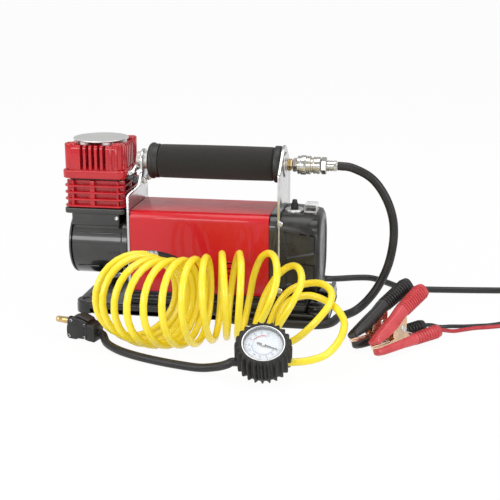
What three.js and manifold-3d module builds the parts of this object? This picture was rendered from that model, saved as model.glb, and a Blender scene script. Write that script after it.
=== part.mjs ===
// A 12 V piston air compressor: motor and crankcase on a skid, air-carrying handle,
// coiled hose with gauge and tyre chuck, and a power lead with two battery clamps.
// Millimetres.  +X runs along the motor towards the end cap, -Y is the front, +Z is up.
// The origin is on the ground under the middle of the compressor.
import * as THREE from 'three';
import { mergeVertices } from 'three/addons/utils/BufferGeometryUtils.js';
import { ConvexGeometry } from 'three/addons/geometries/ConvexGeometry.js';
import Module from 'manifold-3d';

const wasm = await Module();
wasm.setup();

// ---- driving sizes -------------------------------------------------------------------
const GAP = 0.3;                 // between pieces that touch
const RUN = 0.4;                 // round a piece that turns or slides

const SKID_LEAD = 19;            // left end of the skid beyond the middle of the head
const SKID_TRAIL = 11;           // right end of the skid beyond the end cap
const SKID_LEDGE = 9;            // skid beyond the plinth in front and behind
const SKID_LIFT = 1;             // underside of the skid above the ground
const RIM_TOP = 12;
const RIM_WIDTH = 8;
const SKID_WALL = 3;
const PLINTH_LEAD = 5.5;         // plinth beyond the cover on the left
const PLINTH_TRAIL = 13;         // end cap beyond the plinth on the right
const PLINTH_LEDGE = 6.5;        // plinth beyond the cover in front and behind
const PLINTH_TOP = 24;
const FOOT_RADIUS = 11;
const FOOT_TOP = 10;
const END_LIP_WIDTH = 68;

const COVER_LEFT = -68.5;
const COVER_LENGTH = 147;
const COVER_WIDTH = 77;
const COVER_HEIGHT = 86;
const COVER_EDGE = 9;            // rounded long edges of the cover
const COVER_WALL = 2;

const CAN_RADIUS = 33;
const CAN_WALL = 2.5;
const MAGNET_THICKNESS = 6;
const MAGNET_OVERHANG = 4;
const AIR_GAP = 1.2;             // between the magnets and the armature
const ARMATURE_LENGTH = 62;
const ARMATURE_INSET = 38.5;
const ARMATURE_SLOTS = 12;
const SHAFT_RADIUS = 4;
const BEARING_RADIUS = 11;
const BEARING_WIDTH = 7;
const COMMUTATOR_RADIUS = 11;
const COMMUTATOR_LENGTH = 14;
const BRUSH_WIDTH = 6;
const BRUSH_BOX = 4;               // wall of the ring that carries the brushes
const MAGNET_EDGE = 8;             // flat edge of a magnet from the middle plane
const FAN_RADIUS = 29;
const FAN_WIDTH = 9;
const FAN_BLADES = 7;

const PLATE = 2.5;               // stamped handle brackets
const PLATE_TOP_RADIUS = 20;
const LUG_RADIUS = 12.5; // top of the left bracket, round the tube
const PLATE_SHOULDER = 4;         // corners of the plate below the middle of the grip
const JOGGLE = 8.5;              // the left bracket steps towards the grip by this much
const REAR_FLANGE_LENGTH = 8.2;
const CAP_LENGTH = 40.9;
const CAP_CORNER = 15;
const CAP_WALL = 2.5;
const CAP_BEVEL = 3;

const BORE_RADIUS = 20;
const CRANK_THROW = 9;
const CRANK_DISC = 6;
const CRANK_WEB = 14;
const CRANK_WEIGHT = 23;
const ROD_THICKNESS = 8;
const ROD_WIDTH = 10;
const BIG_END_RADIUS = 10.5;
const PIN_RADIUS = 4;
const PISTON_HEIGHT = 8;
const PISTON_GAP = 0.6;          // left above the piston at the top of its stroke
const HEAD_CLEARANCE = 3.7;      // between the head and the left bracket
const HEAD_SIZE = 66;
const HEAD_FLANGE_LIP = 1;
const HEAD_FLANGE_HEIGHT = 9;
const HEAD_HEIGHT = 25.4;        // above its flange
const CROWN_INSET = 1.5;         // crown of the head inside the edge of the fins
const CORNER_SIDE = 12.5;        // raised corners of the crown
const CORNER_RISE = 2.3;
const HEAD_SLOTS = 5;
const HEAD_SLOT_WIDTH = 3.4;
const HEAD_SLOT_PITCH = 6.1;
const HEAD_SLOT_DEPTH = 9;
const CYLINDER_HEIGHT = 28.7;
const CYLINDER_FINS = 4;
const CYLINDER_FIN = 3;
const CYLINDER_CORE = 54;
const VALVE_PLATE = 2;
const DISC_RADIUS = 29.3;
const DISC_THICKNESS = 2;
const DISC_STANDOFF = 2.5;
const POST_RADIUS = 4;
const POST_CIRCLE = 20.3;
const CRANKCASE_RADIUS = 35;
const CRANKCASE_LIP = 0.6;       // barrel beyond the neck on the left
const CRANKCASE_WALL = 4;
const NECK_WIDTH = 52;
const DECK = 6;                  // square deck that the cylinder stands on
const MOTOR_FLANGE_RADIUS = 37.5;
const MOTOR_FLANGE = 8;
const CRANK_COVER = 3;

const HANDLE_RISE = 46.7;        // middle of the grip above the cover
const HANDLE_TUBE_RADIUS = 7;
const GRIP_RADIUS = 17.9;
const LEFT_RING_PLAY = 5.8;       // between a bracket and the ring beside it
const RIGHT_RING_PLAY = 0.6;
const RING_RADIUS = 19.2;
const LEFT_RING_WIDTH = 11;
const RIGHT_RING_WIDTH = 8;
const AIR_PIPE = 5.6;
const NIPPLE_LENGTH = 5.4;
const COUPLER_RADIUS = 6.2;
const COUPLER_LENGTH = 21;
const COUPLER_NOSE_RADIUS = 8.9;
const COUPLER_NOSE = 8;
const SLEEVE_RADIUS = 10.2;
const SLEEVE_LENGTH = 14;
const PLUG_HEX = 8.9;
const PLUG_HEX_LENGTH = 6;
const FERRULE_RADIUS = 5.6;
const FERRULE_LENGTH = 10.5;

const BUTTON_INSET = 10.9;       // from the left edge of the end cap
const BUTTON_Y = -8;
const BUTTON_RADIUS = 3.9;
const BUTTON_HEIGHT = 9.5;
const BUTTON_RING_RADIUS = 10;
const SWITCH_SPACE = 0.7;        // between the button's ring and the switch
const SWITCH_Y = -8;
const SWITCH_WIDTH = 13.6;
const SWITCH_DEPTH = 21;
const ROCKER_WIDTH = 9.6;
const ROCKER_DEPTH = 16;
const SWITCH_FRAME = 2;
const SWITCH_BODY_DEPTH = 14;
const ROCKER_TILT = 11;          // degrees, off position
const GLAND_INSET = 21.9;        // from the left edge of the end cap
const GLAND_RISE = 17.7;         // above the foot of the end cap
const GLAND_RADIUS = 5;
const GLAND_LENGTH = 24;

const GAUGE_RADIUS = 20;  
const GAUGE_DEPTH = 16;
const GAUGE_FACE = 2.5;          // dial set back from the mouth of the guard
const GUARD_RADIUS = 26;
const GUARD_WALL_RADIUS = 23.5;  // between the ribs
const GUARD_DEPTH = 26;
const GUARD_RIBS = 24;
const MANIFOLD_RADIUS = 4.8;
const NEEDLE_LENGTH = 14;
const GAUGE_TILT = 34;           // degrees the dial leans back from level
const GAUGE_SWING = 9.3;
const CHUCK_LENGTH = 33;
const CHUCK_THICKNESS = 16;
const CHUCK_SWING = -14.5;
const STEM_RADIUS = 3.6;
const STEM_BORE = 2.4;
const STEM_REACH = 15.5;
const STEM_HEIGHT = 16;
const CLAMP_WIDTH = 9.2;
const CLAMP_CHEEK = 1.5;
const CLAMP_PIN = 2.5;
const CLAMP_PIVOT = [38, 13];
const CLAMP_ROLL = -27;
const LEAD_COIL_RADIUS = 38.5;
const LEAD_COIL_BUNDLE = 21;

const LEADER_HOSE = 9;           // hose outside diameters
const COIL_HOSE = 7;
const CHUCK_HOSE = 8;
const COIL_TURN_RADIUS = 41.3;
const LEAD_WIDTH = 7;
const WIRE = 4;

// ---- derived levels ------------------------------------------------------------------
const coverRight = COVER_LEFT + COVER_LENGTH;
const coverBottom = PLINTH_TOP + GAP;
const coverTop = coverBottom + COVER_HEIGHT;
const axisHeight = coverBottom + COVER_HEIGHT / 2;
const rearFlangeLeft = coverRight + GAP;
const rightPlateLeft = rearFlangeLeft + REAR_FLANGE_LENGTH + GAP;
const capLeft = rightPlateLeft + PLATE + GAP;
const capRight = capLeft + CAP_LENGTH;
const leftPlateLeft = COVER_LEFT - GAP - PLATE;
const motorFlangeRight = leftPlateLeft - GAP;
const crankcaseRight = motorFlangeRight - MOTOR_FLANGE;
const HEAD_CENTRE = leftPlateLeft - HEAD_CLEARANCE - HEAD_SIZE / 2;
const HEAD_FLANGE_SIZE = HEAD_SIZE + HEAD_FLANGE_LIP * 2;
const crankcaseLeft = HEAD_CENTRE - NECK_WIDTH / 2 - CRANKCASE_LIP;
const deckTop = coverTop - GAP;
const cylinderBottom = deckTop + GAP;
const cylinderTop = cylinderBottom + CYLINDER_HEIGHT;
const plateBottom = cylinderTop + GAP;
const headBottom = plateBottom + VALVE_PLATE + GAP;
const headFlangeTop = headBottom + HEAD_FLANGE_HEIGHT;
const HEAD_TOP = headFlangeTop + HEAD_HEIGHT;
const HANDLE_HEIGHT = coverTop + HANDLE_RISE;
const SKID_LEFT = HEAD_CENTRE - SKID_LEAD;
const SKID_LENGTH = capRight + SKID_TRAIL - SKID_LEFT;
const PLINTH_LEFT = COVER_LEFT - PLINTH_LEAD;
const PLINTH_LENGTH = capRight - PLINTH_TRAIL - PLINTH_LEFT;
const PLINTH_WIDTH = COVER_WIDTH + PLINTH_LEDGE * 2;
const SKID_WIDTH = PLINTH_WIDTH + SKID_LEDGE * 2;
const ARMATURE_RADIUS = CAN_RADIUS - CAN_WALL - GAP - MAGNET_THICKNESS - AIR_GAP;
const GRIP_LEFT = leftPlateLeft + JOGGLE + PLATE + LEFT_RING_PLAY + LEFT_RING_WIDTH + GAP;
const GRIP_LENGTH = rightPlateLeft - RIGHT_RING_PLAY - RIGHT_RING_WIDTH - GAP - GRIP_LEFT;
const BUTTON_X = capLeft + BUTTON_INSET;
const SWITCH_X = BUTTON_X + BUTTON_RING_RADIUS + SWITCH_SPACE + SWITCH_WIDTH / 2;
const GLAND_X = capLeft + GLAND_INSET;
const GLAND_Z = coverBottom + GLAND_RISE;
const frontBearingLeft = motorFlangeRight - BEARING_WIDTH;
const crankRight = frontBearingLeft - RUN;
const crankLeft = crankRight - CRANK_DISC;
const rodRight = HEAD_CENTRE + ROD_THICKNESS / 2;

// ---- building blocks -----------------------------------------------------------------
const group = new THREE.Group();

function add(name, geometry, color, roughness, metalness, parent = group) {
  const material = new THREE.MeshStandardMaterial({ color, roughness, metalness });
  const mesh = new THREE.Mesh(geometry, material);
  mesh.name = name;
  parent.add(mesh);
  return mesh;
}

function solid(source) {
  const bare = source.clone();
  bare.deleteAttribute('normal');
  bare.deleteAttribute('uv');
  const merged = mergeVertices(bare, 1e-4);
  const index = merged.index.array;
  const triangles = [];
  for (let i = 0; i < index.length; i += 3) {
    const [a, b, c] = [index[i], index[i + 1], index[i + 2]];
    if (a !== b && b !== c && c !== a) triangles.push(a, b, c);
  }
  const vertProperties = new Float32Array(merged.attributes.position.array);
  const triVerts = new Uint32Array(triangles);
  return new wasm.Manifold(new wasm.Mesh({ numProp: 3, vertProperties, triVerts }));
}

function shell(manifold) {
  const mesh = manifold.getMesh();
  const geometry = new THREE.BufferGeometry();
  geometry.setAttribute('position', new THREE.BufferAttribute(mesh.vertProperties, 3));
  geometry.setIndex(new THREE.BufferAttribute(mesh.triVerts, 1));
  geometry.computeVertexNormals();
  return geometry;
}

function join(first, ...rest) {
  return shell(rest.reduce((sum, next) => sum.add(solid(next)), solid(first)));
}

function cut(first, ...tools) {
  return shell(tools.reduce((left, tool) => left.subtract(solid(tool)), solid(first)));
}

function common(first, second) {
  return shell(solid(first).intersect(solid(second)));
}

function block(x0, x1, y0, y1, z0, z1) {
  const box = new THREE.BoxGeometry(x1 - x0, y1 - y0, z1 - z0);
  return box.translate((x0 + x1) / 2, (y0 + y1) / 2, (z0 + z1) / 2);
}

// A round bar along X, Y or Z between two stations, through the given point.
function bar(axis, radius, from, to, [x, y, z] = [0, 0, 0], sides = 24, radiusTo = radius) {
  const round = new THREE.CylinderGeometry(radiusTo, radius, to - from, sides);
  const middle = (from + to) / 2;
  if (axis === 'x') return round.rotateZ(-Math.PI / 2).translate(middle, y, z);
  if (axis === 'z') return round.rotateX(Math.PI / 2).translate(x, y, middle);
  return round.translate(x, middle, z);
}

// A lathed piece whose profile is a list of [station, radius] pairs along X.
function turned(profile, y, z, sides = 24) {
  const points = profile.map(([station, radius]) => new THREE.Vector2(radius, station));
  return new THREE.LatheGeometry(points, sides).rotateZ(-Math.PI / 2).translate(0, y, z);
}

// A tube wall between two radii along X.
function pipe(outer, inner, from, to, y = 0, z = axisHeight, sides = 24) {
  return turned([[from, inner], [from, outer], [to, outer], [to, inner], [from, inner]],
    y, z, sides);
}

function roundedOutline(width, height, radius) {
  const shape = new THREE.Shape();
  const [w, h] = [width / 2, height / 2];
  shape.moveTo(-w + radius, -h);
  shape.lineTo(w - radius, -h);
  shape.absarc(w - radius, -h + radius, radius, -Math.PI / 2, 0);
  shape.lineTo(w, h - radius);
  shape.absarc(w - radius, h - radius, radius, 0, Math.PI / 2);
  shape.lineTo(-w + radius, h);
  shape.absarc(-w + radius, h - radius, radius, Math.PI / 2, Math.PI);
  shape.lineTo(-w, -h + radius);
  shape.absarc(-w + radius, -h + radius, radius, Math.PI, Math.PI * 1.5);
  return shape;
}

function raise(shape, depth, curveSegments = 4, bevel = 0) {
  return new THREE.ExtrudeGeometry(shape, {
    depth, curveSegments, steps: 1,
    bevelEnabled: bevel > 0, bevelThickness: bevel, bevelSize: bevel, bevelOffset: -bevel,
    bevelSegments: 2,
  });
}

// Turns an outline drawn in (x, y) and raised in z so that it lies in the YZ plane,
// raised towards +X, or in the XZ plane, raised towards -Y.
const toYZ = new THREE.Matrix4().set(0, 0, 1, 0, 1, 0, 0, 0, 0, 1, 0, 0, 0, 0, 0, 1);
const toXZ = new THREE.Matrix4().set(1, 0, 0, 0, 0, 0, -1, 0, 0, 1, 0, 0, 0, 0, 0, 1);

function outline(points) {
  return new THREE.Shape(points.map(([x, y]) => new THREE.Vector2(x, y)));
}

function curveThrough(points) {
  return new THREE.CatmullRomCurve3(points.map(([x, y, z]) => new THREE.Vector3(x, y, z)));
}

function hose(points, diameter, steps, sides = 10) {
  const section = new THREE.Shape();
  section.absarc(0, 0, diameter / 2, 0, Math.PI * 2);
  return new THREE.ExtrudeGeometry(section, {
    steps, curveSegments: sides / 2, bevelEnabled: false, extrudePath: curveThrough(points),
  });
}

const BLACK = 0x1b1b1d;
const RED = 0xb3141b;
const STEEL = 0xc9ccd0;
const CHROME = 0xdfe2e6;
const RUBBER = 0x19191a;
const YELLOW = 0xf2d51e;

// ---- skid and feet -------------------------------------------------------------------
const skidRight = SKID_LEFT + SKID_LENGTH;
const skidMiddle = (SKID_LEFT + skidRight) / 2;
const plinthRight = PLINTH_LEFT + PLINTH_LENGTH;
const footX = [SKID_LEFT + FOOT_RADIUS, skidRight - FOOT_RADIUS];
const footY = SKID_WIDTH / 2 - FOOT_RADIUS;
const feet = [
  ['front_left', footX[0], -footY], ['front_right', footX[1], -footY],
  ['rear_left', footX[0], footY], ['rear_right', footX[1], footY],
];

function skid() {
  const edge = roundedOutline(SKID_LENGTH, SKID_WIDTH, FOOT_RADIUS);
  const slab = raise(edge, RIM_TOP - SKID_LIFT).translate(skidMiddle, 0, SKID_LIFT);
  const half = PLINTH_WIDTH / 2;
  const plinth = block(PLINTH_LEFT, plinthRight, -half, half, SKID_LIFT, PLINTH_TOP);
  const lip = block(skidRight - SKID_WALL * 1.5, skidRight, -END_LIP_WIDTH / 2, END_LIP_WIDTH / 2,
    RIM_TOP - SKID_WALL, PLINTH_TOP);
  const well = block(SKID_LEFT + RIM_WIDTH * 2.8, PLINTH_LEFT - SKID_WALL,
    RIM_WIDTH - SKID_WIDTH / 2, SKID_WIDTH / 2 - RIM_WIDTH, RIM_TOP / 2, PLINTH_TOP);
  const hollow = block(PLINTH_LEFT + SKID_WALL, plinthRight - SKID_WALL,
    SKID_WALL - half, half - SKID_WALL, 0, PLINTH_TOP - SKID_WALL);
  const pockets = feet.map(([, x, y]) => bar('z', FOOT_RADIUS + GAP, 0, FOOT_TOP + GAP, [x, y, 0]));
  return cut(join(slab, plinth, lip), well, hollow, ...pockets);
}
add('skid', skid(), BLACK, 0.45, 0);
for (const [place, x, y] of feet) {
  add(`foot_${place}`, bar('z', FOOT_RADIUS, 0, FOOT_TOP, [x, y, 0], 20), 0x3a3a3c, 0.8, 0);
}

// ---- crankcase, cylinder and head ----------------------------------------------------
const cavityRadius = CRANKCASE_RADIUS - CRANKCASE_WALL;
const boreSide = BORE_RADIUS + GAP;

function crankcase() {
  const barrel = bar('x', CRANKCASE_RADIUS, crankcaseLeft, crankcaseRight, [0, 0, axisHeight], 32);
  const flange = bar('x', MOTOR_FLANGE_RADIUS, crankcaseRight, motorFlangeRight,
    [0, 0, axisHeight], 32);
  const half = NECK_WIDTH / 2;
  const neck = block(HEAD_CENTRE - half, HEAD_CENTRE + half, -half, half, axisHeight, deckTop);
  const side = HEAD_SIZE / 2;
  const deck = block(HEAD_CENTRE - side, HEAD_CENTRE + side, -side, side, deckTop - DECK, deckTop);
  const cavity = bar('x', cavityRadius, crankcaseLeft - 1, frontBearingLeft - RUN * 2 + 1.5,
    [0, 0, axisHeight], 32);
  const seat = bar('x', BEARING_RADIUS + GAP, crankRight - 2, motorFlangeRight + 1,
    [0, 0, axisHeight]);
  const bore = bar('z', boreSide, axisHeight, deckTop + 1, [HEAD_CENTRE, 0, 0], 32);
  const clear = bar('x', CRANKCASE_RADIUS + GAP, crankcaseLeft - CRANK_COVER - GAP * 2,
    crankcaseLeft - GAP / 2, [0, 0, axisHeight], 32);
  return cut(join(barrel, flange, neck, deck), cavity, seat, bore, clear);
}
add('crankcase', crankcase(), BLACK, 0.4, 0.3);

add('crankcase_cover', raise(new THREE.Shape().absarc(0, 0, CRANKCASE_RADIUS, 0, Math.PI * 2),
  CRANK_COVER - 2, 16, 1).translate(0, 0, 1).applyMatrix4(toYZ)
  .translate(crankcaseLeft - GAP - CRANK_COVER, 0, axisHeight), BLACK, 0.4, 0.3);

function cylinder() {
  const core = CYLINDER_CORE / 2;
  const body = block(HEAD_CENTRE - core, HEAD_CENTRE + core, -core, core, cylinderBottom, cylinderTop);
  const fin = roundedOutline(HEAD_SIZE, HEAD_SIZE, 7);
  const pitch = CYLINDER_HEIGHT / CYLINDER_FINS;
  const fins = [];
  for (let i = 0; i < CYLINDER_FINS; i += 1) {
    fins.push(raise(fin, CYLINDER_FIN, 2).translate(HEAD_CENTRE, 0, cylinderBottom + pitch * i));
  }
  const bore = bar('z', BORE_RADIUS, cylinderBottom - 1, cylinderTop + 1, [HEAD_CENTRE, 0, 0], 32);
  return cut(join(body, ...fins), bore);
}
add('cylinder', cylinder(), RED, 0.35, 0.2);

const plateHalf = CYLINDER_CORE / 2;
add('valve_plate', block(HEAD_CENTRE - plateHalf, HEAD_CENTRE + plateHalf, -plateHalf, plateHalf,
  plateBottom, plateBottom + VALVE_PLATE), STEEL, 0.3, 1);

function head() {
  const flange = raise(roundedOutline(HEAD_FLANGE_SIZE, HEAD_FLANGE_SIZE, 8), HEAD_FLANGE_HEIGHT, 2);
  flange.translate(HEAD_CENTRE, 0, headBottom);
  const crown = roundedOutline(HEAD_SIZE - CROWN_INSET * 2, HEAD_SIZE - CROWN_INSET * 2, 8);
  const upper = raise(crown, HEAD_TOP - headFlangeTop + 1, 2);
  upper.translate(HEAD_CENTRE, 0, headFlangeTop - 1);
  const raised = raise(crown, CORNER_RISE + 1, 2).translate(HEAD_CENTRE, 0, HEAD_TOP - 1);
  const slots = [];
  const side = HEAD_SIZE / 2 - CROWN_INSET;
  const inner = side - CORNER_SIDE;
  const corners = [[-1, -1], [-1, 1], [1, -1], [1, 1]].map(([x, y]) => common(raised, block(
    HEAD_CENTRE + Math.min(inner * x, (side + 1) * x), HEAD_CENTRE + Math.max(inner * x, (side + 1) * x),
    Math.min(inner * y, (side + 1) * y), Math.max(inner * y, (side + 1) * y),
    HEAD_TOP - 1, HEAD_TOP + CORNER_RISE)));
  for (let i = 0; i < HEAD_SLOTS; i += 1) {
    const along = (i - (HEAD_SLOTS - 1) / 2) * HEAD_SLOT_PITCH;
    const [low, high] = [along - HEAD_SLOT_WIDTH / 2, along + HEAD_SLOT_WIDTH / 2];
    for (const face of [-1, 1]) {
      const [near, far] = face < 0
        ? [-side - 1, HEAD_SLOT_DEPTH - side] : [side - HEAD_SLOT_DEPTH, side + 1];
      slots.push(block(HEAD_CENTRE + low, HEAD_CENTRE + high, near, far,
        headFlangeTop, HEAD_TOP + 1));
    }
    slots.push(block(HEAD_CENTRE + side - HEAD_SLOT_DEPTH, HEAD_CENTRE + side + 1, low, high,
      headFlangeTop, HEAD_TOP + 1));
  }
  const chamber = bar('z', BORE_RADIUS - 3, headBottom - 1, headBottom + 5, [HEAD_CENTRE, 0, 0]);
  return cut(join(flange, upper, ...corners), chamber, ...slots);
}
add('cylinder_head', head(), RED, 0.35, 0.2);

function headDisc() {
  const level = HEAD_TOP + GAP;
  const plate = bar('z', DISC_RADIUS, level + DISC_STANDOFF, level + DISC_STANDOFF + DISC_THICKNESS,
    [HEAD_CENTRE, 0, 0], 40);
  const posts = [];
  for (let i = 0; i < 4; i += 1) {
    const turn = Math.PI * (i / 2 + 1 / 4);
    const x = HEAD_CENTRE + Math.cos(turn) * POST_CIRCLE;
    const y = Math.sin(turn) * POST_CIRCLE;
    posts.push(bar('z', POST_RADIUS, level, level + DISC_STANDOFF + 1, [x, y, 0], 12));
  }
  return join(plate, ...posts);
}
add('head_disc', headDisc(), CHROME, 0.25, 1);

// ---- piston and crank ----------------------------------------------------------------
const pistonTop = cylinderTop - PISTON_GAP;
const bigEndHeight = axisHeight + CRANK_THROW;

function piston() {
  const crown = bar('z', BORE_RADIUS - RUN, pistonTop - PISTON_HEIGHT, pistonTop,
    [HEAD_CENTRE, 0, 0], 32);
  const left = HEAD_CENTRE - ROD_THICKNESS / 2;
  const bigEnd = bar('x', BIG_END_RADIUS, left, rodRight, [0, 0, bigEndHeight]);
  const rod = block(left + 1, rodRight - 1, -ROD_WIDTH / 2, ROD_WIDTH / 2,
    bigEndHeight, pistonTop - PISTON_HEIGHT + 1);
  const eye = bar('x', PIN_RADIUS + RUN, left - 1, rodRight + 1, [0, 0, bigEndHeight], 16);
  return cut(join(crown, rod, bigEnd), eye);
}
add('piston_and_rod', piston(), 0xb9bdc2, 0.35, 1);

function crank() {
  const web = bar('x', CRANK_WEB, crankLeft, crankRight, [0, 0, axisHeight]);
  const low = CRANK_WEIGHT + 1;
  const weight = common(bar('x', CRANK_WEIGHT, crankLeft, crankRight, [0, 0, axisHeight], 32),
    block(crankLeft - 1, crankRight + 1, -low, low, axisHeight - low, axisHeight - CRANK_WEB / 3));
  const pin = bar('x', PIN_RADIUS, rodRight + RUN, crankLeft + 1, [0, 0, bigEndHeight], 16);
  const hole = bar('x', SHAFT_RADIUS + GAP, crankRight - 4, crankRight + 1, [0, 0, axisHeight], 16);
  return cut(join(web, weight, pin), hole);
}
add('crank', crank(), 0x8b9096, 0.4, 1);

// ---- motor ---------------------------------------------------------------------------
const canLeft = COVER_LEFT + 1;
const canRight = coverRight - 1;
const armatureLeft = COVER_LEFT + ARMATURE_INSET;
const armatureRight = armatureLeft + ARMATURE_LENGTH;
const commutatorLeft = armatureRight + GAP;
const commutatorRight = commutatorLeft + COMMUTATOR_LENGTH;
const rearBearingLeft = rearFlangeLeft + 0.8;
const fanLeft = capLeft + 6;
const fanRight = fanLeft + FAN_WIDTH;
const shaftLeft = crankRight - 4 + GAP;
const shaftRight = fanRight - 2;

add('motor_can', pipe(CAN_RADIUS, CAN_RADIUS - CAN_WALL, canLeft, canRight), 0x55585c, 0.5, 0.8);

function magnet(side) {
  const outer = CAN_RADIUS - CAN_WALL - GAP;
  const [left, right] = [armatureLeft - MAGNET_OVERHANG, armatureRight + MAGNET_OVERHANG];
  const ring = pipe(outer, outer - MAGNET_THICKNESS, left, right);
  const reach = CAN_RADIUS + 1;
  const [low, high] = side > 0 ? [MAGNET_EDGE, reach] : [-reach, -MAGNET_EDGE];
  return common(ring, block(left - 1, right + 1, low, high, axisHeight - reach, axisHeight + reach));
}
add('magnet_front', magnet(-1), 0x3c3c3e, 0.7, 0.1);
add('magnet_rear', magnet(1), 0x3c3c3e, 0.7, 0.1);

add('motor_shaft', bar('x', SHAFT_RADIUS, shaftLeft, shaftRight, [0, 0, axisHeight], 20),
  STEEL, 0.25, 1);

function armature() {
  const stack = pipe(ARMATURE_RADIUS, SHAFT_RADIUS + GAP, armatureLeft, armatureRight);
  const slots = [];
  for (let i = 0; i < ARMATURE_SLOTS; i += 1) {
    const turn = (i / ARMATURE_SLOTS) * Math.PI * 2;
    const slot = block(armatureLeft - 1, armatureRight + 1, -1.2, 1.2,
      ARMATURE_RADIUS * 0.7, ARMATURE_RADIUS + 1);
    slots.push(slot.rotateX(turn).translate(0, 0, axisHeight));
  }
  return cut(stack, ...slots);
}
add('armature', armature(), 0x7a5a3a, 0.5, 0.6);
add('commutator', pipe(COMMUTATOR_RADIUS, SHAFT_RADIUS + GAP, commutatorLeft, commutatorRight),
  0xb87333, 0.35, 1);

// Ring with the two brush boxes, one brush reaching in to the commutator from each side.
function brushGear() {
  const outer = CAN_RADIUS - CAN_WALL - GAP;
  const left = armatureRight + MAGNET_OVERHANG + 1;
  const ring = pipe(outer, outer - BRUSH_BOX, left, left + BRUSH_WIDTH + 2);
  const near = COMMUTATOR_RADIUS + RUN;
  const far = outer - BRUSH_BOX / 2;
  const half = BRUSH_WIDTH / 2;
  const brush = (low, high) => block(left + 1, left + 1 + BRUSH_WIDTH, low, high,
    axisHeight - half, axisHeight + half);
  return join(ring, brush(near, far), brush(-far, -near));
}
add('brush_gear', brushGear(), 0x2b2622, 0.6, 0);

const bearings = [['front_bearing', frontBearingLeft], ['rear_bearing', rearBearingLeft]];
for (const [name, left] of bearings) {
  add(name, pipe(BEARING_RADIUS, SHAFT_RADIUS + RUN, left + GAP, left + BEARING_WIDTH - GAP),
    STEEL, 0.25, 1);
}

function fan() {
  const hub = bar('x', 9, fanLeft, fanRight, [0, 0, axisHeight]);
  const blades = [];
  for (let i = 0; i < FAN_BLADES; i += 1) {
    const blade = block(-FAN_WIDTH / 2, FAN_WIDTH / 2, -0.9, 0.9, 6, FAN_RADIUS).rotateZ(0.5);
    blade.rotateX((i / FAN_BLADES) * Math.PI * 2);
    blades.push(blade.translate((fanLeft + fanRight) / 2, 0, axisHeight));
  }
  const hole = bar('x', SHAFT_RADIUS + GAP, fanLeft - 1, shaftRight + GAP, [0, 0, axisHeight], 16);
  return cut(join(hub, ...blades), hole);
}
add('cooling_fan', fan(), 0x242424, 0.6, 0);

function rearFlange() {
  const edge = roundedOutline(COVER_WIDTH, COVER_HEIGHT, CAP_CORNER);
  const plate = raise(edge, REAR_FLANGE_LENGTH).applyMatrix4(toYZ).translate(rearFlangeLeft, 0, axisHeight);
  const seat = bar('x', BEARING_RADIUS + GAP, rearFlangeLeft - 1, rearFlangeLeft + REAR_FLANGE_LENGTH + 1,
    [0, 0, axisHeight]);
  return cut(plate, seat);
}
add('rear_flange', rearFlange(), BLACK, 0.45, 0.1);

// ---- red cover -----------------------------------------------------------------------
function cover() {
  const half = COVER_WIDTH / 2;
  const arch = (w, top, radius) => {
    const shape = new THREE.Shape();
    shape.moveTo(-w, coverBottom);
    shape.lineTo(w, coverBottom);
    shape.lineTo(w, top - radius);
    shape.absarc(w - radius, top - radius, radius, 0, Math.PI / 2);
    shape.lineTo(-w + radius, top);
    shape.absarc(-w + radius, top - radius, radius, Math.PI / 2, Math.PI);
    return shape;
  };
  const outside = raise(arch(half, coverTop, COVER_EDGE), COVER_LENGTH).applyMatrix4(toYZ);
  const inner = arch(half - COVER_WALL, coverTop - COVER_WALL, COVER_EDGE - COVER_WALL);
  const inside = raise(inner, COVER_LENGTH + 2).applyMatrix4(toYZ).translate(-1, 0, 0);
  const floor = block(-1, COVER_LENGTH + 1, COVER_WALL - half, half - COVER_WALL,
    coverBottom - 1, coverBottom + 1);
  return cut(outside, inside, floor).translate(COVER_LEFT, 0, 0);
}
add('motor_cover', cover(), RED, 0.2, 0.1);

// ---- brackets ------------------------------------------------------------------------
function plateOutline() {
  const foot = COVER_WIDTH / 2;
  const shoulder = HANDLE_HEIGHT - PLATE_SHOULDER;
  const lean = Math.PI * 0.22;
  const shape = new THREE.Shape();
  shape.moveTo(-foot, coverBottom);
  shape.lineTo(foot, coverBottom);
  shape.lineTo(foot, shoulder);
  shape.lineTo(PLATE_TOP_RADIUS * Math.cos(lean), HANDLE_HEIGHT + PLATE_TOP_RADIUS * Math.sin(lean));
  shape.absarc(0, HANDLE_HEIGHT, PLATE_TOP_RADIUS, lean, Math.PI - lean);
  shape.lineTo(-foot, shoulder);
  return shape;
}

// Above its joggle the left plate draws in to a lug round the handle tube.
function lugOutline() {
  const foot = COVER_WIDTH / 2;
  const shoulder = coverTop + 15;
  const neck = HANDLE_HEIGHT - LUG_RADIUS;
  const shape = new THREE.Shape();
  shape.moveTo(-foot, coverBottom);
  shape.lineTo(foot, coverBottom);
  shape.lineTo(foot, shoulder);
  shape.lineTo(LUG_RADIUS + 2.5, neck);
  shape.lineTo(LUG_RADIUS, neck + 4);
  shape.lineTo(LUG_RADIUS, HANDLE_HEIGHT);
  shape.absarc(0, HANDLE_HEIGHT, LUG_RADIUS, 0, Math.PI);
  shape.lineTo(-LUG_RADIUS, neck + 4);
  shape.lineTo(-LUG_RADIUS - 2.5, neck);
  shape.lineTo(-foot, shoulder);
  return shape;
}

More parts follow.
